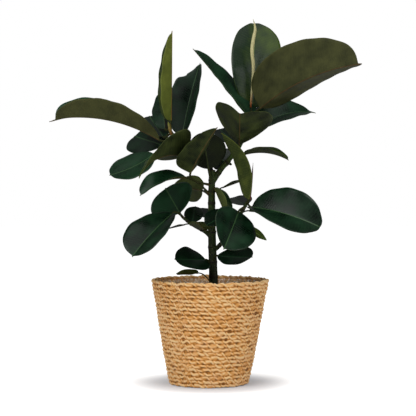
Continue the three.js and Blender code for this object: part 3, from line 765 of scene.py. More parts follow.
@dataclass
class Foliage:
    """All the leaves, each one closed skin of blade, midrib and petiole."""

    along: int = 54
    half_across: int = 12
    crowding: float = 1.4  # above 1 the points gather at the midrib
    thickness: float = 1.0
    rib_depth: float = 1.6
    rib_half_width: float = 1.5
    groove: float = 0.45
    drip_half_width: float = 3.4
    usual_drip: float = 0.028  # the drip that has this half width; a longer one is wider
    drip_growth: float = 0.6
    drip_root: float = 2.4  # how far back the narrow tip starts, in drips
    least_half_width: float = 0.7
    valley: float = 0.05  # how round the fold is at the midrib
    wave: float = 0.9
    wave_length: float = 46.0
    wave_lag: float = 0.37  # how far the right margin's waves are past the left one's
    edge_taper: float = 0.45
    rib_taper: float = 0.8
    groove_taper: float = 0.6
    petiole_radius: float = 2.3
    petiole_bend: float = 0.35
    petiole_sides: int = 14
    petiole_steps: int = 16
    petiole_end: float = 0.9
    petiole_sink: float = 4.0  # how far it runs on into the blade's base
    petiole_mark: float = -30.0  # its last place along the blade, for the material
    foot_swell: float = 0.35
    foot_run: float = 0.12
    full_width: float = 60.0  # a narrower blade has a thinner petiole
    thinnest: float = 0.62
    tone_spread: float = 0.12
    seed: int = 11

    def half_width(self, leaf: Leaf, t: np.ndarray) -> np.ndarray:
        """Half the blade's width along its length, with its short narrow tip.

        Args:
            leaf: The leaf.
            t: Shares of its length.

        Returns:
            The half width at each share.
        """
        body = np.clip(t / (1 - leaf.drip), 0, 1)
        outline = np.clip(np.sin(np.pi * body ** leaf.belly), 0, 1) ** leaf.blunt
        root = self.drip_half_width * (leaf.drip / self.usual_drip) ** self.drip_growth
        tip = root * np.clip((1 - t) / (self.drip_root * leaf.drip), 0, 1)
        return np.maximum(tip * smooth_step(t, 0.4, 0.9) + self.least_half_width,
                          leaf.width / 2 * outline)

    def blade(self, leaf: Leaf, phase: float) -> tuple[np.ndarray, list, list, np.ndarray]:
        """Builds a blade as a closed skin.

        Args:
            leaf: The leaf.
            phase: Where the margin's waves start.

        Returns:
            Its points, its faces, the material number of each face, and each point's place on
            the blade: millimetres out from the midrib, millimetres along it, and the share out.
        """
        base = np.array(leaf.base, float)
        chord, up, right = leaf.axes()
        length = np.linalg.norm(chord)
        # The rows of points gather towards the base and the tip.
        t = (1 - np.cos(np.pi * (np.arange(self.along) + 0.35) / (self.along - 0.65))) / 2
        bow = 4 * t * (1 - t)
        hook = leaf.hook * smooth_step(t, 0.8, 1.0) ** 1.5
        middle = (base + np.outer(t, chord) + np.outer(bow * leaf.arch, up)
                  + np.outer(bow * leaf.sway, right) - np.outer(hook, [0, 0, 1]))
        heading = unit(np.gradient(middle, t, axis=0))
        turn = np.radians(-leaf.twist * t)
        turned = (right * np.cos(turn)[:, None] + np.cross(heading, right) * np.sin(turn)[:, None]
                  + heading * (heading @ right * (1 - np.cos(turn)))[:, None])
        side, normal = square_to(heading, turned)

        steps = np.arange(-self.half_across, self.half_across + 1) / self.half_across
        s = np.sign(steps) * np.abs(steps) ** self.crowding
        out = np.sqrt(s ** 2 + self.valley ** 2) - self.valley
        half = self.half_width(leaf, t)[:, None] * np.ones_like(s)[None]
        half = np.where(s[None] < 0, half * leaf.left, half)
        if leaf.torn:
            places, shares = zip(*leaf.torn)
            half = np.where(s[None] < 0, half * np.interp(t, places, shares)[:, None], half)
        rise = np.radians(leaf.fold + leaf.cup * out * 0.5)[None]
        slope = np.radians(leaf.fold + leaf.cup * out)[None]
        across = s[None] * half
        lift = out[None] * half * np.sin(rise)
        wave = self.wave * np.abs(s[None]) ** 3 * np.sin(
            2 * np.pi * (t[:, None] * length / self.wave_length + phase
                         + self.wave_lag * (s[None] > 0)))
        wave *= smooth_step(t, 0.03, 0.2)[:, None] * (1 - smooth_step(t, 0.85, 1.0))[:, None]
        centre = (middle[:, None] + side[:, None] * (across * np.cos(rise))[..., None]
                  + normal[:, None] * (lift + wave)[..., None])
        shoulder = leaf.notch * smooth_step(t, 0.7, 0.93) * (1 - smooth_step(t, 0.96, 1.0))
        centre = centre + (np.sin(np.pi * np.abs(s))[None, :, None]
                           * (heading * shoulder[:, None])[:, None])
        tilt = -(s / np.sqrt(s ** 2 + self.valley ** 2))[None] * np.sin(slope)
        facing = unit(side[:, None] * np.broadcast_to(tilt, across.shape)[..., None]
                      + normal[:, None] * np.sqrt(1 - tilt ** 2)[..., None]
                      * np.ones_like(across)[..., None])
        depth = self.thickness / 2 * (1 - self.edge_taper * np.abs(s[None]) ** 3)
        near = np.exp(-(across / self.rib_half_width) ** 2)
        rib = self.rib_depth * (1 - self.rib_taper * t)[:, None] * near
        groove = self.groove * (1 - self.groove_taper * t)[:, None] * near
        upper = centre + facing * (depth - groove)[..., None]
        lower = centre - facing * (depth + rib)[..., None]

        points = np.vstack([upper.reshape(-1, 3), lower.reshape(-1, 3)])
        one = np.stack([across, t[:, None] * length * np.ones_like(across) + 0.1,
                        np.abs(s)[None] * np.ones_like(across)], -1).reshape(-1, 3)
        faces, slots = self.skin(self.along, len(s))
        return points, faces, slots, np.vstack([one, one])

    def skin(self, tall: int, wide: int) -> tuple[list[tuple[int, ...]], list[int]]:
        """The faces of a blade's two sides and of its edge.

        Args:
            tall: How many rows of points each side has.
            wide: How many points in a row.

        Returns:
            The faces and the material number of each one.
        """
        faces = grid_faces(tall, wide)
        slots = [0] * len(faces)
        under = tall * wide
        faces += grid_faces(tall, wide, under, flip=True)
        rim = []
        for i in range(tall - 1):
            a, b = i * wide, (i + 1) * wide
            rim.append((a, b, under + b, under + a))
            rim.append((b + wide - 1, a + wide - 1, under + a + wide - 1, under + b + wide - 1))
        last = (tall - 1) * wide
        for j in range(wide - 1):
            rim.append((j + 1, j, under + j, under + j + 1))
            rim.append((last + j, last + j + 1, under + last + j + 1, under + last + j))
        faces += rim
        slots += [1] * (len(faces) - len(slots))
        return faces, slots

    def petiole(self, leaf: Leaf, first: int) -> tuple[np.ndarray, list]:
        """The leaf's stalk, from the skin of its limb into the blade's base.

        Args:
            leaf: The leaf.
            first: The number of its first point.

        Returns:
            Its points and faces.
        """
        base = np.array(leaf.base, float)
        chord, up, right = leaf.axes()
        # The midrib's heading at a hundredth of its length, where its bow rises by 4 * 0.98.
        heading = unit(chord + 4 * 0.98 * (leaf.arch * up + leaf.sway * right))
        node = leaf.limb.at(leaf.share)[0]
        beyond = leaf.limb.at(min(1, leaf.share + 0.01))[0]
        axis = unit(beyond - leaf.limb.at(leaf.share - 0.01)[0])
        turn = base - heading * self.petiole_bend * np.linalg.norm(node - base)
        away = unit(turn - node)
        outward = square_to(axis[None], away)[0][0] if leaf.share < 1 else away
        skin = float(leaf.limb.radius(leaf.share))
        start = node + outward * skin * 0.7
        inside = base + heading * self.petiole_sink
        t = np.linspace(0, 1, self.petiole_steps)[:, None]
        line = (1 - t) ** 2 * start + 2 * t * (1 - t) * turn + t ** 2 * base
        line = np.vstack([line, inside])
        foot = 1 + self.foot_swell * np.exp(-(t[:, 0] / self.foot_run) ** 2)
        radii = np.append(self.petiole_radius * foot, self.petiole_end)
        small = np.clip(leaf.width / self.full_width, self.thinnest, 1)
        return tube(line, radii * small, self.petiole_sides, first)

    def build(self) -> None:
        """Builds every leaf in its place."""
        draw = np.random.default_rng(self.seed)
        surfaces = {age: [face.surface() for face in age.value[:2]] for age in Age}
        for name, leaf in LEAVES.items():
            points, faces, slots, places = self.blade(leaf, draw.random())
            stalk, skin = self.petiole(leaf, len(points))
            drop = np.linspace(0, self.petiole_mark, len(stalk))
            marks = np.column_stack([np.zeros(len(stalk)), drop, np.zeros(len(stalk))])
            tone = leaf.tone + self.tone_spread * (draw.random() - 0.5)
            places = np.vstack([places, marks])
            across = np.clip(places[:, 0] / leaf.width * 2, -1, 1)
            piece = mesh_object(f"{name}_blade", np.vstack([points, stalk]), faces + skin,
                                surfaces[leaf.age], slots + [1] * len(skin),
                                {"blade": places, "tone": tone + leaf.lean / 2 * across})
            hand_over(piece, leaf.age.value[2], name)


# ---------------------------------------------------------------- bud sheaths


@dataclass(frozen=True)
class DrySheath:
    """A bud sheath: a rolled stipule that dries to paper, glossy when fresh.

    Its ribs run lengthwise, and its foot keeps the colour of the shoot.
    """

    name: str
    body: str
    foot: str
    foot_z: float
    foot_run: float = 28.0
    rib_mm: float = 1.5

    def surface(self) -> bpy.types.Material:
        """Builds the material.

        Returns:
            The material.
        """
        material, tree, shader, place = new_surface(self.name)
        height = add_node(tree, "SeparateXYZ", {0: place}).outputs["Z"]
        share = add_node(tree, "MapRange", {0: height, 1: self.foot_z * MM,
                                            2: (self.foot_z + self.foot_run) * MM})
        long = add_node(tree, "Mapping", {0: place, 3: (1, 1, 0.08)})
        ribs = add_node(tree, "TexNoise", {0: long, "Scale": scale_of(self.rib_mm), "Detail": 4.0})
        shade = add_node(tree, "MapRange", {0: ribs, 1: 0.3, 2: 0.7, 3: 0.72, 4: 1.12})
        two = add_node(tree, "Mix", {0: share, 6: self.foot, 7: self.body}, data_type="RGBA")
        colour = add_node(tree, "Mix", {0: 1.0, 6: two, 7: shade}, data_type="RGBA",
                          blend_type="MULTIPLY")
        bump = add_node(tree, "Bump", {"Height": ribs, "Strength": 0.4, "Distance": 0.0005})
        set_inputs(shader, {"Base Color": colour, "Normal": bump, "Roughness": 0.42})
        return material


@dataclass
class BudSheath:
    """A spindle that stands where the next leaf will open."""

    name: str
    through: tuple[Point, ...]
    radius: float
    widest: float
    finish: DrySheath
    slot: str
    sides: int = 20
    steps: int = 40
    foot_share: float = 0.55  # the foot's radius, of the widest
    taper: float = 0.8
    least_radius: float = 0.35
    ribs: int = 5
    rib_height: float = 0.12

    def build(self) -> None:
        """Builds the sheath in its place."""
        t = np.linspace(0, 1, self.steps)
        rise = self.foot_share + (1 - self.foot_share) * np.sin(np.pi / 2 * t / self.widest)
        past = (t - self.widest) / (1 - self.widest)
        fall = np.clip(np.cos(np.pi / 2 * past), 0, 1) ** self.taper
        radii = np.maximum(self.least_radius, self.radius * np.where(t < self.widest, rise, fall))
        line = spline(self.through, t)
        points, faces = tube(line, radii, self.sides)
        points = points.reshape(self.steps, self.sides, 3)
        ribs = self.rib_height * np.cos(self.ribs * turn_angles(self.sides))
        ribs = smooth_step(t, 0, 0.2)[:, None] * ribs
        points += (points - line[:, None]) * ribs[..., None]
        piece = mesh_object(f"{self.name}_skin", points.reshape(-1, 3), faces,
                            [self.finish.surface()])
        hand_over(piece, self.slot, self.name)


# ---------------------------------------------------------------- basket


@dataclass(frozen=True)
class TwistedSeagrass:
    """Seagrass rope: dried stems, twisted wet into two plies and stitched coil on coil.

    It is matt and the colour of straw. Fibres run along each ply. The pockets between plies are
    painted brown as shade and each ply's crown is painted pale as a highlight, with real patches of
    bleach there, so the eye sees slanting strands with short dark dashes.
    """

    # The first two colours are painted shade for the pockets between plies, and the crown colour is
    # a painted highlight on the plies' tops; straw is the rope's own colour.
    pocket_shade: str = "#6b3b0b"
    shade: str = "#d08c40"
    straw: str = "#efac5e"
    crown: str = "#ffd89c"
    # Real patches of bleach, shown only on the plies' crowns, so partly a painted highlight.
    bleach_and_highlight: str = "#f6c998"
    fibre_mm: float = 1.5  # coarser than the real 0.4 mm, so that it shows
    fibre_length_mm: float = 18.0
    apart: float = 7.3  # takes each coil's fibres from another part of the noise
    patch_mm: float = 26.0

    def surface(self) -> bpy.types.Material:
        """Builds the material from the rope's own coordinates.

        Returns:
            The material.
        """
        material, tree, shader, place = new_surface("twisted_seagrass")
        lay = add_node(tree, "Attribute", attribute_name="lay").outputs["Vector"]
        painted_light = add_node(tree, "Attribute", attribute_name="painted_light").outputs["Fac"]
        ply = add_node(tree, "Attribute", attribute_name="ply").outputs["Fac"]
        along = add_node(tree, "Mapping",
                         {0: lay, 3: (1 / self.fibre_length_mm, 1 / self.fibre_mm, self.apart)})
        fibre = add_node(tree, "TexNoise", {0: along, "Scale": 1.0, "Detail": 5.0})
        patch = add_node(tree, "TexNoise", {0: place, "Scale": scale_of(self.patch_mm),
                                            "Detail": 4.0})
        streak = add_node(tree, "MapRange", {0: fibre, 1: 0.3, 2: 0.7, 3: -0.3, 4: 0.3})
        own = add_node(tree, "MapRange", {0: ply, 3: -0.12, 4: 0.12})
        lit = add_node(tree, "Math", {0: painted_light, 1: streak}, operation="ADD")
        share = add_node(tree, "Math", {0: lit, 1: own}, operation="ADD")
        # Painted light: the share runs from painted shade in the pockets up to the crowns' painted
        # highlight.
        straw = add_node(tree, "ValToRGB", {0: share}, stops=(
            (0.04, self.pocket_shade), (0.3, self.shade), (0.7, self.straw), (1.0, self.crown)))
        tint = add_node(tree, "MapRange", {0: patch, 1: 0.5, 2: 0.72, 3: 0.0, 4: 0.55})
        pale = add_node(tree, "Math", {0: tint, 1: painted_light}, operation="MULTIPLY")
        colour = add_node(tree, "Mix", {0: pale, 6: straw, 7: self.bleach_and_highlight}, data_type="RGBA")
        bump = add_node(tree, "Bump", {"Height": fibre, "Strength": 0.7, "Distance": 0.0008})
        set_inputs(shader, {"Base Color": colour, "Normal": bump, "Roughness": 0.82,
                            "Specular IOR Level": 0.3, "Sheen Weight": 0.1})
        return material


@dataclass(frozen=True)
class RopePlace:
    """One ring of points on the basket: a place round the section of one coil of rope.

    angle is the place on the section in degrees, 0 outwards and 90 up. facing is the angle that is
    seen straight on there. rope is the coil's radius, 0 on the plain underside and floor.
    """

    radius: float
    height: float
    coil: int
    angle: float = 0.0
    facing: float = 0.0
    rope: float = 0.0
    depth: float = 1.0


@dataclass
class Basket:
    """The tapered basket: coils of two-ply rope up to the rim, a plain foot and a plain floor."""

    height: float = 230.0
    foot_radius: float = 86.0
    rim_radius: float = 129.0
    flare: float = 0.85
    rim_swell: float = 1.5
    swell_rows: int = 3
    wall: float = 9.0
    floor: float = 9.0
    rows: int = 26
    columns: int = 540
    row_samples: int = 8
    inner_rows: int = 5
    reach: float = 72.0  # how far round its section a coil shows, in degrees each way
    under_reach: float = 88.0
    under_radii: tuple[float, ...] = (12, 30, 48, 64, 76)
    inside_heights: tuple[float, ...] = (130.0, 90.0, 50.0)
    floor_radii: tuple[float, ...] = (60, 30, 8)
    coils: int = 100  # sets of random values: the coils come first, the plain parts from 50 on
    plies: int = 90
    squeeze: float = 1.04  # how far a coil is thicker than the run from coil to coil
    groove_depth: float = 0.75
    ply_length: float = 15.5  # from one ply's crown to the next, along the rope
    ply_offset: float = 0.42  # the plies' middles and radii, in radii of the rope
    ply_radius: float = 0.58
    slimmest: float = 0.55
    ply_sizes: tuple[float, float] = (0.72, 1.12)
    uneven_twist: float = 1.1  # in radians
    coil_lag: float = 2.3  # shifts the slow waves from coil to coil, in radians
    fullness: float = 1.6  # puts the ropes' mean outline on the plain wall's
    foot_lean: float = 3.0  # the foot stands this far to the left of the rim
    uneven_height: float = 0.85
    three_sided: float = 0.35  # how far a coil is from round
    fibre_step: float = 0.37  # parts the fibres of neighbouring plies
    across_mm: float = 4.2  # a ply's width to one radian of its section
    # The run of openness over which the colour goes from painted shade in the pockets to full straw.
    pocket_shade_run: tuple[float, float] = (0.16, 0.8)
    # Painted light: the least colour share of the inner coils, which lifts the inside wall where it
    # lies in shade; also the share of the plain foot, inside wall and floor.
    painted_inside_light: float = 0.45
    seed: int = 5
    fibres: int = 170
    fibre_lengths: tuple[float, float] = (5, 14)
    fibre_lifts: tuple[float, float] = (0.4, 2.2)
    fibre_sink: float = 1.2
    fibre_radius: float = 0.32
    fibre_steps: int = 7
    fibre_sides: int = 5

    def radius(self, z: float) -> float:
        """The outer radius at a height, over the ropes' crests.

        Args:
            z: The height.

        Returns:
            The radius.
        """
        share = max(0.0, z) / self.height
        done = share * self.rows
        t = min(1.0, max(0.0, done - (self.rows - self.swell_rows - 1)))
        swell = t * t * (3 - 2 * t)
        spread = self.rim_radius - self.rim_swell - self.foot_radius
        return self.foot_radius + spread * share ** self.flare + self.rim_swell * swell

    def profile(self) -> list[RopePlace]:
        """The outline from under the foot, up the wall, over the rim and down the inside.

        Returns:
            The places in order.
        """
        pitch = self.height / self.rows
        rope = pitch / 2 * self.squeeze
        reach = self.reach
        places = [RopePlace(r, 0.0, 60 + k) for k, r in enumerate(self.under_radii)]

        def coil(row: int, start: float, end: float, samples: int, facing: float,
                 depth: float = self.groove_depth) -> None:
            """Adds the places round one coil.

            Args:
                row: The coil's number from the foot.
                start: The first angle.
                end: The last angle.
                samples: How many places.
                facing: The angle that is seen straight on.
                depth: The share of the groove's full depth.
            """
            z = (row + 0.5) * pitch
            for k in range(samples):
                angle = start + (end - start) * k / (samples - 1)
                straight = min(max(angle, 0.0), 180.0) if row == self.rows - 1 else facing
                full = self.fullness if facing < 180 else 0.0
                places.append(RopePlace(self.radius(z) - rope + full, z, row, angle, straight,
                                        rope, depth))

        for row in range(self.rows - 1):
            coil(row, -reach if row else -self.under_reach, reach, self.row_samples, 0.0)
        coil(self.rows - 1, -reach, 180 + reach, 2 * self.row_samples, 90.0, depth=1.0)
        for row in range(self.rows - 2, self.rows - 2 - self.inner_rows, -1):
            coil(row, 180 - reach, 180 + reach, self.row_samples - 1, 180.0)
        below = (self.rows - 2 - self.inner_rows) * pitch
        places += [RopePlace(self.radius(z) - self.wall, z, 50)
                   for z in (below, *self.inside_heights, self.floor + 1)]
        places += [RopePlace(r, self.floor, 70) for r in self.floor_radii]
        return places

    def build(self) -> None:
        """Weaves the basket and lays loose fibre ends on it."""
        draw = np.random.default_rng(self.seed)
        theta = turn_angles(self.columns)
        phase = draw.random(self.coils) * np.pi
        stretch = 1 + 0.3 * (draw.random(self.coils) - 0.5)
        waves = [(int(n), a, w) for n, a, w in zip(draw.integers(4, 38, 9), draw.random(9) * 7,
                                                   0.15 + draw.random(9) * 0.3)]
        bulk = draw.random((self.coils, self.plies))
        valley = math.sqrt(self.ply_radius ** 2 - self.ply_offset ** 2)
        slim, full = self.ply_sizes
        points, lays, crests, plies = [], [], [], []
        for place in self.profile():
            about = max(place.radius, 20)
            # The twist isn't even: slow waves push each coil's plies together and apart.
            drift = sum(w * np.sin(n * theta + a + self.coil_lag * place.coil) for n, a, w in waves)
            turns = round(2 * np.pi * about * stretch[place.coil] / self.ply_length)
            twist = -theta / 2 * turns + phase[place.coil] + self.uneven_twist * drift
            off = np.radians(place.angle) - twist
            number = np.floor(off / np.pi + 0.5).astype(int)
            across = off - number * np.pi
            size = bulk[place.coil, number % turns % self.plies]
            # Each ply is a circle set off from the rope's middle: this is how far out its skin is.
            swell = (self.ply_offset * np.cos(across)
                     + np.sqrt(self.ply_radius ** 2 - (self.ply_offset * np.sin(across)) ** 2))
            swell = valley + (swell - valley) * (slim + (full - slim) * size)
            swell = np.maximum(swell, self.slimmest)
            lean, tip = math.cos(math.radians(place.angle)), math.sin(math.radians(place.angle))
            out = math.copysign(1.0, lean) * (1 - place.depth * (1 - swell * abs(lean)))
            sag = self.uneven_height * drift * (place.rope > 0) * (place.coil > 0)
            sides = self.three_sided * np.sin(3 * theta + place.coil) * (place.rope > 0)
            radius = place.radius + place.rope * out - sides
            if place.rope and place.facing < 90:
                radius = radius - self.foot_lean * np.cos(theta) * (1 - place.height / self.height)
            height = np.clip(place.height + place.rope * swell * tip + sag, 0, None)
            points.append(round_points(radius, height, theta))
            lays.append(np.column_stack([theta * about, across * self.across_mm,
                                         place.coil + number * self.fibre_step]))
            # Painted shade and highlight: how far a place on a ply faces out sets its colour share,
            # dark in the pockets between plies and light on their crowns.
            seen = math.cos(math.radians(0.8 * (place.angle - place.facing)))
            open_share = smooth_step(swell * seen, *self.pocket_shade_run)
            # Painted light: the inner coils are lifted towards the lighter colours, since the inside
            # wall lies in shade.
            if place.facing > 90:
                open_share = self.painted_inside_light + (1 - self.painted_inside_light) * open_share
            crests.append(open_share if place.rope else np.full_like(theta, self.painted_inside_light))
            plies.append(size)
        faces = stack_faces(len(points), self.columns)
        finish = TwistedSeagrass().surface()
        weave = mesh_object("basket_rope", np.vstack(points), faces, [finish],
                            marks={"lay": np.vstack(lays), "painted_light": np.concatenate(crests),
                                   "ply": np.concatenate(plies)})
        hand_over(weave, "seagrass", "basket")
        self.loose_ends(draw, finish)

    def loose_ends(self, draw: np.random.Generator, finish: bpy.types.Material) -> None:
        """Lays fibre ends that have worked loose from the rope.

        Args:
            draw: The seeded draw.
            finish: The rope's material.
        """
        points, faces, count = [], [], 0
        for _ in range(self.fibres):
            z, angle = draw.uniform(6, self.height - 4), draw.uniform(0, 2 * np.pi)
            length, lift = draw.uniform(*self.fibre_lengths), draw.uniform(*self.fibre_lifts)
            slope = draw.uniform(-0.5, 0.5)
            t = np.linspace(0, 1, self.fibre_steps)
            radius = self.radius(z) - self.fibre_sink + lift * t ** 1.6
            at = angle + length * t / self.radius(z)
            line = round_points(radius, np.clip(z + slope * length * t, 1, self.height - 1), at)
            body, skin = tube(line, self.fibre_radius * (1 - 0.6 * t), self.fibre_sides, count)
            points.append(body)
            faces += skin
            count += len(body)
        whole = np.vstack(points)
        marks = {"lay": whole, "painted_light": np.full(count, 0.75), "ply": np.full(count, 0.6)}
        loose = mesh_object("basket_loose_fibres", whole, faces, [finish], marks=marks)
        hand_over(loose, "seagrass")


# ---------------------------------------------------------------- liner, pot and soil


def turned_piece(name: str, profile: Sequence[tuple[float, float]], columns: int,
                 material: bpy.types.Material) -> bpy.types.Object:
    """Turns a closed outline about the upright axis.

    Args:
        name: The piece's name.
        profile: Radius and height pairs, from the axis underneath to the axis on top.
        columns: How many points go round.
        material: Its finish.

    Returns:
        The piece.
    """
    theta = turn_angles(columns)
    rings = [round_points(radius, height, theta) for radius, height in profile]
    return mesh_object(name, np.vstack(rings), stack_faces(len(rings), columns), [material])


@dataclass(frozen=True)
class ClearFilm:
    """Polythene film, blown thin and clear, hanging in soft creases; its creases carry painted
    glints as whitish opaque patches, over its real milkiness.
    """

    tint: str = "#ffe8cd"
    haze_and_glint: float = 0.26
    crease_mm: float = 9.0

    def surface(self) -> bpy.types.Material:
        """Builds the material.

        Returns:
            The material.
        """
        material, tree, shader, place = new_surface("clear_film")
        crease = add_node(tree, "TexNoise", {0: place, "Scale": scale_of(self.crease_mm),
                                             "Detail": 4.0, "Distortion": 1.2})
        bump = add_node(tree, "Bump", {"Height": crease, "Strength": 0.9, "Distance": 0.002})
        # Painted glints: the film turns whitish and opaque along the creases and stays clear
        # between.
        haze_and_glint = add_node(tree, "MapRange", {0: crease, 1: 0.48, 2: 0.66, 3: self.haze_and_glint * 0.3,
                                           4: self.haze_and_glint * 4})
        set_inputs(shader, {"Normal": bump, "Alpha": haze_and_glint, "Base Color": self.tint,
                            "Roughness": 0.16})
        return material


@dataclass
class Liner:
    """The film against the inside of the basket, with a creased free edge."""

    basket: Basket
    gap: float = 0.4
    turn_up: float = 0.6
    top: float = 223.0
    skin: float = 0.5
    slack: float = 0.25
    crease: float = 0.5  # how far the film's creases stand off the wall
    edge_waves: float = 1.4  # how far its free edge waves up and down
    centre_radius: float = 4.0
    columns: int = 180
    rows: int = 16
    seed: int = 3

    def build(self) -> None:
        """Hangs the film."""
        draw = np.random.default_rng(self.seed)
        theta = turn_angles(self.columns)
        waves = [(int(n), a, w) for n, a, w in zip(draw.integers(7, 31, 7), draw.random(7) * 7,
                                                   draw.random(7))]
        crease = sum(w * np.sin(n * theta + a) for n, a, w in waves) / 4
        low = self.basket.floor + self.gap
        outer, inner = [], []
        for k in range(self.rows):
            share = k / (self.rows - 1)
            z = low + (self.top - low) * share + self.edge_waves * share ** 6 * crease
            clear = self.basket.wall + self.gap + self.turn_up + self.slack
            wall = np.array([self.basket.radius(h) for h in z]) - clear
            wall = wall - self.crease * np.abs(crease) * share
            outer.append(round_points(wall, z, theta))
            inner.append(round_points(wall - self.skin, z, theta))
        inner[0][:, 2] = low + self.skin
        rings = [round_points(self.centre_radius, low, theta), *outer, *inner[::-1],
                 round_points(self.centre_radius, low + self.skin, theta)]
        film = mesh_object("liner_film", np.vstack(rings), stack_faces(len(rings), self.columns),
                           [ClearFilm().surface()])
        hand_over(film, "liner_film", "liner")


@dataclass(frozen=True)
class BlackPolypropylene:
    """Recycled polypropylene, injection moulded: black, a little glossy, like fine orange peel."""

    colour: str = "#19191a"
    dusty: str = "#2c2a27"
    peel_mm: float = 1.4
    dust_mm: float = 20.0

    def surface(self) -> bpy.types.Material:
        """Builds the material.

        Returns:
            The material.
        """
        material, tree, shader, place = new_surface("black_polypropylene")
        peel = add_node(tree, "TexNoise", {0: place, "Scale": scale_of(self.peel_mm),
                                           "Detail": 3.0})
        dust = add_node(tree, "TexNoise", {0: place, "Scale": scale_of(self.dust_mm),
                                           "Detail": 5.0})
        gloss = add_node(tree, "MapRange", {0: dust, 1: 0.3, 2: 0.7, 3: 0.36, 4: 0.62})
        colour = add_node(tree, "Mix", {0: dust, 6: self.colour, 7: self.dusty}, data_type="RGBA")
        bump = add_node(tree, "Bump", {"Height": peel, "Strength": 0.2, "Distance": 0.0003})
        set_inputs(shader, {"Base Color": colour, "Roughness": gloss, "Normal": bump})
        return material


@dataclass(frozen=True)
class PottingSoil:
    """Peat and bark fines, crumbled and damp: nearly black, with paler dry crumbs on top."""

    damp: str = "#1a120c"
    moist: str = "#2c2018"
    dry: str = "#4a382a"
    crumb_mm: float = 4.0

    def surface(self) -> bpy.types.Material:
        """Builds the material.

        Returns:
            The material.
        """
        material, tree, shader, place = new_surface("potting_soil")
        crumb = add_node(tree, "TexNoise", {0: place, "Scale": scale_of(self.crumb_mm),
                                            "Detail": 8.0, "Roughness": 0.7})
        colour = add_node(tree, "ValToRGB", {0: crumb}, stops=(
            (0.35, self.damp), (0.55, self.moist), (0.75, self.dry)))
        bump = add_node(tree, "Bump", {"Height": crumb, "Strength": 1.0, "Distance": 0.003})
        set_inputs(shader, {"Base Color": colour, "Normal": bump, "Roughness": 0.95})
        return material


@dataclass
class NurseryPot:
    """The plain moulded pot that the plant was grown in, with its lip and drain holes."""

    foot: float = 10.6
    height: float = 197.0
    foot_radius: float = 73.0
    rim_radius: float = 101.0
    wall: float = 1.8
    floor: float = 2.5
    lip_height: float = 12.0
    lip_depth: float = 2.5
    drain_holes: int = 6
    drain_radius: float = 5.0
    drain_ring: float = 46.0
    drill_sides: int = 24
    drill_over: float = 4.0
    centre_radius: float = 3.0
    foot_round: float = 2.0
    columns: int = 144

    def wall_radius(self, z: float) -> float:
        """The outer radius of the wall below the lip."""
        spread = self.rim_radius - self.lip_depth - self.foot_radius
        return self.foot_radius + spread / (self.height - self.lip_height) * (z - self.foot)

    def build(self) -> None:
        """Moulds the pot and bores its drain holes."""
        low, rim = self.foot, self.foot + self.height
        top, lip = low + self.floor, rim - self.lip_height
        wide, wall, soft = self.rim_radius, self.wall, self.foot_round
        outline = [(self.centre_radius, low), (self.foot_radius - soft, low),
                   (self.foot_radius, low + soft), (self.wall_radius(lip), lip),
                   (wide - 0.4, lip), (wide, lip + 0.6), (wide, rim - 0.8), (wide - 0.9, rim),
                   (wide - wall, rim - 0.6),
                   (self.wall_radius(lip) - wall, lip), (self.wall_radius(top) - wall, top),
                   (self.centre_radius, top)]
        pot = turned_piece("nursery_pot_moulding", outline, self.columns,
                           BlackPolypropylene().surface())
        points, faces = [], []
        for at in turn_angles(self.drain_holes):
            centre = (self.drain_ring * math.cos(at), self.drain_ring * math.sin(at))
            faces += stack_faces(2, self.drill_sides, len(points) * self.drill_sides)
            points += [round_points(self.drain_radius, z, turn_angles(self.drill_sides), centre)
                       for z in (low - self.drill_over, top + self.drill_over)]
        drills = mesh_object("drills", np.vstack(points), faces, [])
        cut = pot.modifiers.new("drain", "BOOLEAN")
        cut.operation, cut.object, cut.solver = "DIFFERENCE", drills, "EXACT"
        graph = bpy.context.evaluated_depsgraph_get()
        pot.data = bpy.data.meshes.new_from_object(pot.evaluated_get(graph))
        pot.modifiers.clear()
        bpy.data.objects.remove(drills)
        hand_over(pot, "pot_plastic", "nursery_pot")


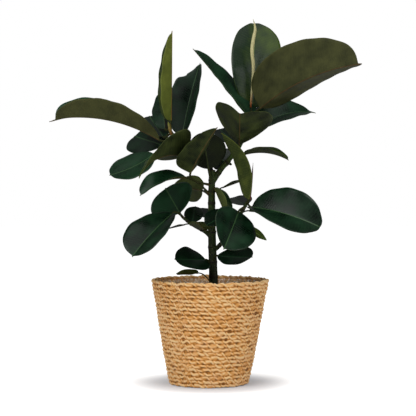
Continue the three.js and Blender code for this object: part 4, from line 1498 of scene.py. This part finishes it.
@dataclass
class Soil:
    """The soil in the pot, lumpy on top, with the plain hole in which the trunk stands."""

    pot: NurseryPot
    below: float = 13.0
    mound: float = 5.0
    gap: float = 0.5
    hole_radius: float = 11.5
    hole_foot: float = 149.0
    trunk: tuple[float, float] = (8.0, 0.0)
    columns: int = 200
    rings: int = 44
    lumps: int = 16
    crumbs: int = 520
    crumb_sizes: tuple[float, float] = (0.9, 3.2)
    crumb_margin: float = 4.0
    hole_margin: float = 3.5
    seed: int = 8

    @property
    def top(self) -> float:
        """The height of the top's edge."""
        return self.pot.foot + self.pot.height - self.below

    def inner_radius(self, z: float) -> float:
        """The soil's radius at a height."""
        return self.pot.wall_radius(z) - self.pot.wall - self.gap

    def top_height(self, x: np.ndarray, y: np.ndarray, waves: list) -> np.ndarray:
        """The height of the lumpy top.

        Args:
            x: The places' first coordinates.
            y: Their second coordinates.
            waves: The lumps: two slopes, a start and a height each.

        Returns:
            The height at each place.
        """
        edge = self.inner_radius(self.top)
        dome = self.mound * np.clip(1 - (x ** 2 + y ** 2) / edge ** 2, 0, 1)
        lumps = sum(a * np.sin(p * x + q * y + c) for p, q, c, a in waves)
        return self.top + dome + lumps

    def build(self) -> None:
        """Fills the pot and scatters the crumbs."""
        draw = np.random.default_rng(self.seed)
        waves = [(draw.uniform(-0.5, 0.5), draw.uniform(-0.5, 0.5), draw.uniform(0, 7),
                  draw.uniform(0.15, 0.5)) for _ in range(self.lumps)]
        theta = turn_angles(self.columns)
        low = self.pot.foot + self.pot.floor + self.gap
        # How far the pot's wall is from the trunk's axis, in each direction.
        off = self.trunk[0] * np.cos(theta) + self.trunk[1] * np.sin(theta)
        aside = math.hypot(*self.trunk) ** 2
        edge = self.inner_radius(self.top)
        reach = -off + np.sqrt(off ** 2 + edge ** 2 - aside)
        foot = -off + np.sqrt(off ** 2 + self.inner_radius(low) ** 2 - aside)
        hole = self.hole_radius
        rows = [round_points(foot * 0.05, low, theta, self.trunk),
                round_points(foot, low, theta, self.trunk)]
        for k in range(self.rings, -1, -1):
            row = round_points(hole + (reach - hole) * (k / self.rings), 0.0, theta, self.trunk)
            row[:, 2] = self.top_height(row[:, 0], row[:, 1], waves)
            rows.append(row)
        rows += [round_points(radius, self.hole_foot, theta, self.trunk)
                 for radius in (hole, hole * 0.05)]
        finish = PottingSoil().surface()
        fill = mesh_object("soil_fill", np.vstack(rows), stack_faces(len(rows), self.columns),
                           [finish])
        hand_over(fill, "soil", "soil")
        self.scatter(draw, waves, edge, finish)

    def scatter(self, draw: np.random.Generator, waves: list, edge: float,
                finish: bpy.types.Material) -> None:
        """Scatters crumbs of bark and peat, each sunk a little into the top.

        Args:
            draw: The seeded draw.
            waves: The lumps of the top.
            edge: The soil's radius at the top.
            finish: The soil's material.
        """
        gold = (1 + math.sqrt(5)) / 2
        pairs = [(a, b * gold) for a in (-1, 1) for b in (-1, 1)]
        ball = unit(np.array([(0, a, b) for a, b in pairs] + [(a, b, 0) for a, b in pairs]
                             + [(b, 0, a) for a, b in pairs], float))
        close = np.linalg.norm(ball[:, None] - ball[None], axis=-1) < 1.1
        triangles = []
        for i in range(12):
            for j in range(i + 1, 12):
                for k in range(j + 1, 12):
                    if close[i, j] and close[j, k] and close[i, k]:
                        a, b, c = ball[[i, j, k]]
                        outwards = np.dot(np.cross(b - a, c - a), a) > 0
                        triangles.append((i, j, k) if outwards else (i, k, j))
        points, faces = [], []
        while len(points) < self.crumbs:
            r = (edge - self.crumb_margin) * math.sqrt(draw.random())
            angle = draw.uniform(0, 2 * np.pi)
            x, y = r * math.cos(angle), r * math.sin(angle)
            clear = self.hole_radius + self.hole_margin
            if math.hypot(x - self.trunk[0], y - self.trunk[1]) < clear:
                continue
            size = draw.uniform(*self.crumb_sizes) * np.array(
                [1, draw.uniform(0.6, 1), draw.uniform(0.45, 0.8)])
            spin = draw.uniform(0, 2 * np.pi)
            shape = ball * size * (1 + 0.25 * (draw.random((12, 1)) - 0.5))
            turned = np.column_stack([shape[:, 0] * math.cos(spin) - shape[:, 1] * math.sin(spin),
                                      shape[:, 0] * math.sin(spin) + shape[:, 1] * math.cos(spin),
                                      shape[:, 2]])
            z = float(self.top_height(np.array(x), np.array(y), waves)) + 0.2 * size[2]
            first = 12 * len(points)
            points.append(turned + [x, y, z])
            faces += [(first + a, first + b, first + c) for a, b, c in triangles]
        hand_over(mesh_object("soil_crumbs", np.vstack(points), faces, [finish]), "soil")


# ---------------------------------------------------------------- studio


@dataclass
class Studio:
    """The pale floor, the white surround, the soft boxes and the camera of the photograph."""

    camera_x: float = -5.0
    distance: float = 3400.0
    eye_height: float = 474.0
    pixels: float = 416.0
    focal_pixels: float = 1545.5  # the lens's length in pixels of the frame
    horizon_row: float = 168.0
    sensor_mm: float = 36.0
    clip_end: float = 60.0  # metres
    # The soft boxes: where each one is, its side and its power in watts.
    boxes: tuple[tuple[Point, float, float], ...] = (
        ((-1900, -2200, 2300), 2600, 54.0),
        ((2300, -2100, 1500), 2400, 36.0),
        ((-100, -700, 2900), 2600, 20.0),
    )
    fill: float = 0.12  # the surround's light on the plant; the camera sees it white
    floor_reach: float = 9000.0
    floor_drop: float = 0.4  # keeps it clear of the basket's underside
    aim_height: float = 0.4  # metres
    paper: tuple[str, str] = ("#f6f6f6", "#fafafa")
    sweep_mm: float = 1250.0
    # Painted light: the floor glows for the camera only, from the first strength near the basket to
    # the second past this run.
    glow_run: tuple[float, float] = (0.08, 0.26)  # metres from the basket's axis
    glow: tuple[float, float] = (0.24, 1.0)
    # Painted shadow: the floor's colour darkens to this grey near the basket's foot.
    painted_shadow_run: tuple[float, float] = (0.09, 0.2)  # the soft shade round the basket's foot
    shade: str = "#d8dbe0"

    def floor(self) -> None:
        """Lays the floor."""
        material, tree, shader, place = new_surface("studio_floor")
        sweep = add_node(tree, "TexNoise", {0: place, "Scale": scale_of(self.sweep_mm),
                                            "Detail": 1.0})
        colour = add_node(tree, "Mix", {0: sweep, 6: self.paper[0], 7: self.paper[1]},
                          data_type="RGBA")
        # Painted light: the floor glows for camera rays, more strongly away from the basket, so that
        # it meets the surround in white and the lamps' shade shows only near the foot.
        away = add_node(tree, "VectorMath", {0: place}, operation="LENGTH")
        near, far = self.glow_run
        glow = add_node(tree, "MapRange",
                        {0: away, 1: near, 2: far, 3: self.glow[0], 4: self.glow[1]},
                        interpolation_type="SMOOTHSTEP")
        # Painted shadow: a grey mixed into the floor's colour round the basket's foot.
        near, far = self.painted_shadow_run
        foot = add_node(tree, "MapRange", {0: away, 1: near, 2: far, 3: 1.0, 4: 0.0},
                        interpolation_type="SMOOTHSTEP")
        colour = add_node(tree, "Mix", {0: foot, 6: colour, 7: self.shade}, data_type="RGBA")
        seen = add_node(tree, "LightPath").outputs["Is Camera Ray"]
        lit = add_node(tree, "Math", {0: glow, 1: seen}, operation="MULTIPLY")
        set_inputs(shader, {"Base Color": colour, "Emission Color": colour,
                            "Emission Strength": lit, "Roughness": 0.7, "Specular IOR Level": 0.1})
        corners = np.array([(x * self.floor_reach, y * self.floor_reach, -self.floor_drop)
                            for x, y in ((-1, -1), (1, -1), (1, 1), (-1, 1))])
        mesh_object("studio_floor", corners, [(0, 1, 2, 3)], [material])

    def light(self) -> None:
        """Sets the surround and the soft boxes."""
        world = bpy.data.worlds.new("white_surround")
        bpy.context.scene.world = world
        world.use_nodes = True
        tree = world.node_tree
        seen = add_node(tree, "LightPath").outputs["Is Camera Ray"]
        strength = add_node(tree, "MapRange", {0: seen, 3: self.fill, 4: 1.0})
        set_inputs(tree.nodes["Background"], {"Color": "#ffffff", "Strength": strength})
        for k, (place, size, power) in enumerate(self.boxes):
            lamp = bpy.data.lights.new(f"soft_box_{k + 1}", "AREA")
            lamp.size, lamp.energy = size * MM, power
            holder = bpy.data.objects.new(lamp.name, lamp)
            bpy.context.scene.collection.objects.link(holder)
            at = np.array(place, float) * MM
            holder.location = at
            aim = np.array([0, 0, self.aim_height]) - at
            yaw = math.atan2(aim[1], aim[0]) - math.pi / 2
            holder.rotation_euler = (math.acos(-aim[2] / np.linalg.norm(aim)), 0, yaw)

    def camera(self) -> None:
        """Sets the camera where the photograph was taken from, tipped down a little."""
        lens = bpy.data.cameras.new("camera")
        lens.sensor_width = self.sensor_mm
        lens.lens = self.sensor_mm * self.focal_pixels / self.pixels
        lens.clip_end = self.clip_end
        holder = bpy.data.objects.new("camera", lens)
        bpy.context.scene.collection.objects.link(holder)
        holder.location = (self.camera_x * MM, -self.distance * MM, self.eye_height * MM)
        tip = math.atan((self.pixels / 2 - self.horizon_row) / self.focal_pixels)
        holder.rotation_euler = (math.pi / 2 - tip, 0, 0)
        bpy.context.scene.camera = holder

    def build(self) -> None:
        """Sets up the whole studio."""
        bpy.context.scene.view_settings.view_transform = "Standard"
        self.floor()
        self.light()
        self.camera()


SHEATHS = (
    BudSheath("right_crown_bud_sheath",
              ((88, -19, 606), (92, -19, 655), (94, -18.5, 695), (91, -18, 728), (94, -18, 755),
               (98, -18, 778), (93.5, -18, 799)), 3.7, 0.62,
              DrySheath("cream_sheath", "#cdc58e", "#a8592a", 612), "cream_sheath"),
    BudSheath("right_side_bud_sheath", ((87, -26, 404), (90, -33, 445), (93, -40, 485)), 2.0, 0.4,
              DrySheath("red_sheath", "#57301c", "#7d3b1e", 404), "red_sheath"),
    BudSheath("left_crown_bud_sheath", ((-85, 0.8, 546), (-89, -3.6, 561), (-93, -8, 576)), 3.4,
              0.4, DrySheath("green_sheath", "#848a38", "#94602a", 546), "leaf_young"),
)


def main() -> None:
    """Builds the plant, its basket and the studio in order."""
    logging.basicConfig(level=logging.INFO, format="%(name)s %(message)s")
    basket, pot = Basket(), NurseryPot()
    for part in (Studio(), basket, Liner(basket), pot, Soil(pot), Stem(), Foliage(), *SHEATHS):
        log.info("building %s", type(part).__name__)
        part.build()


if __name__ == "__main__":
    main()
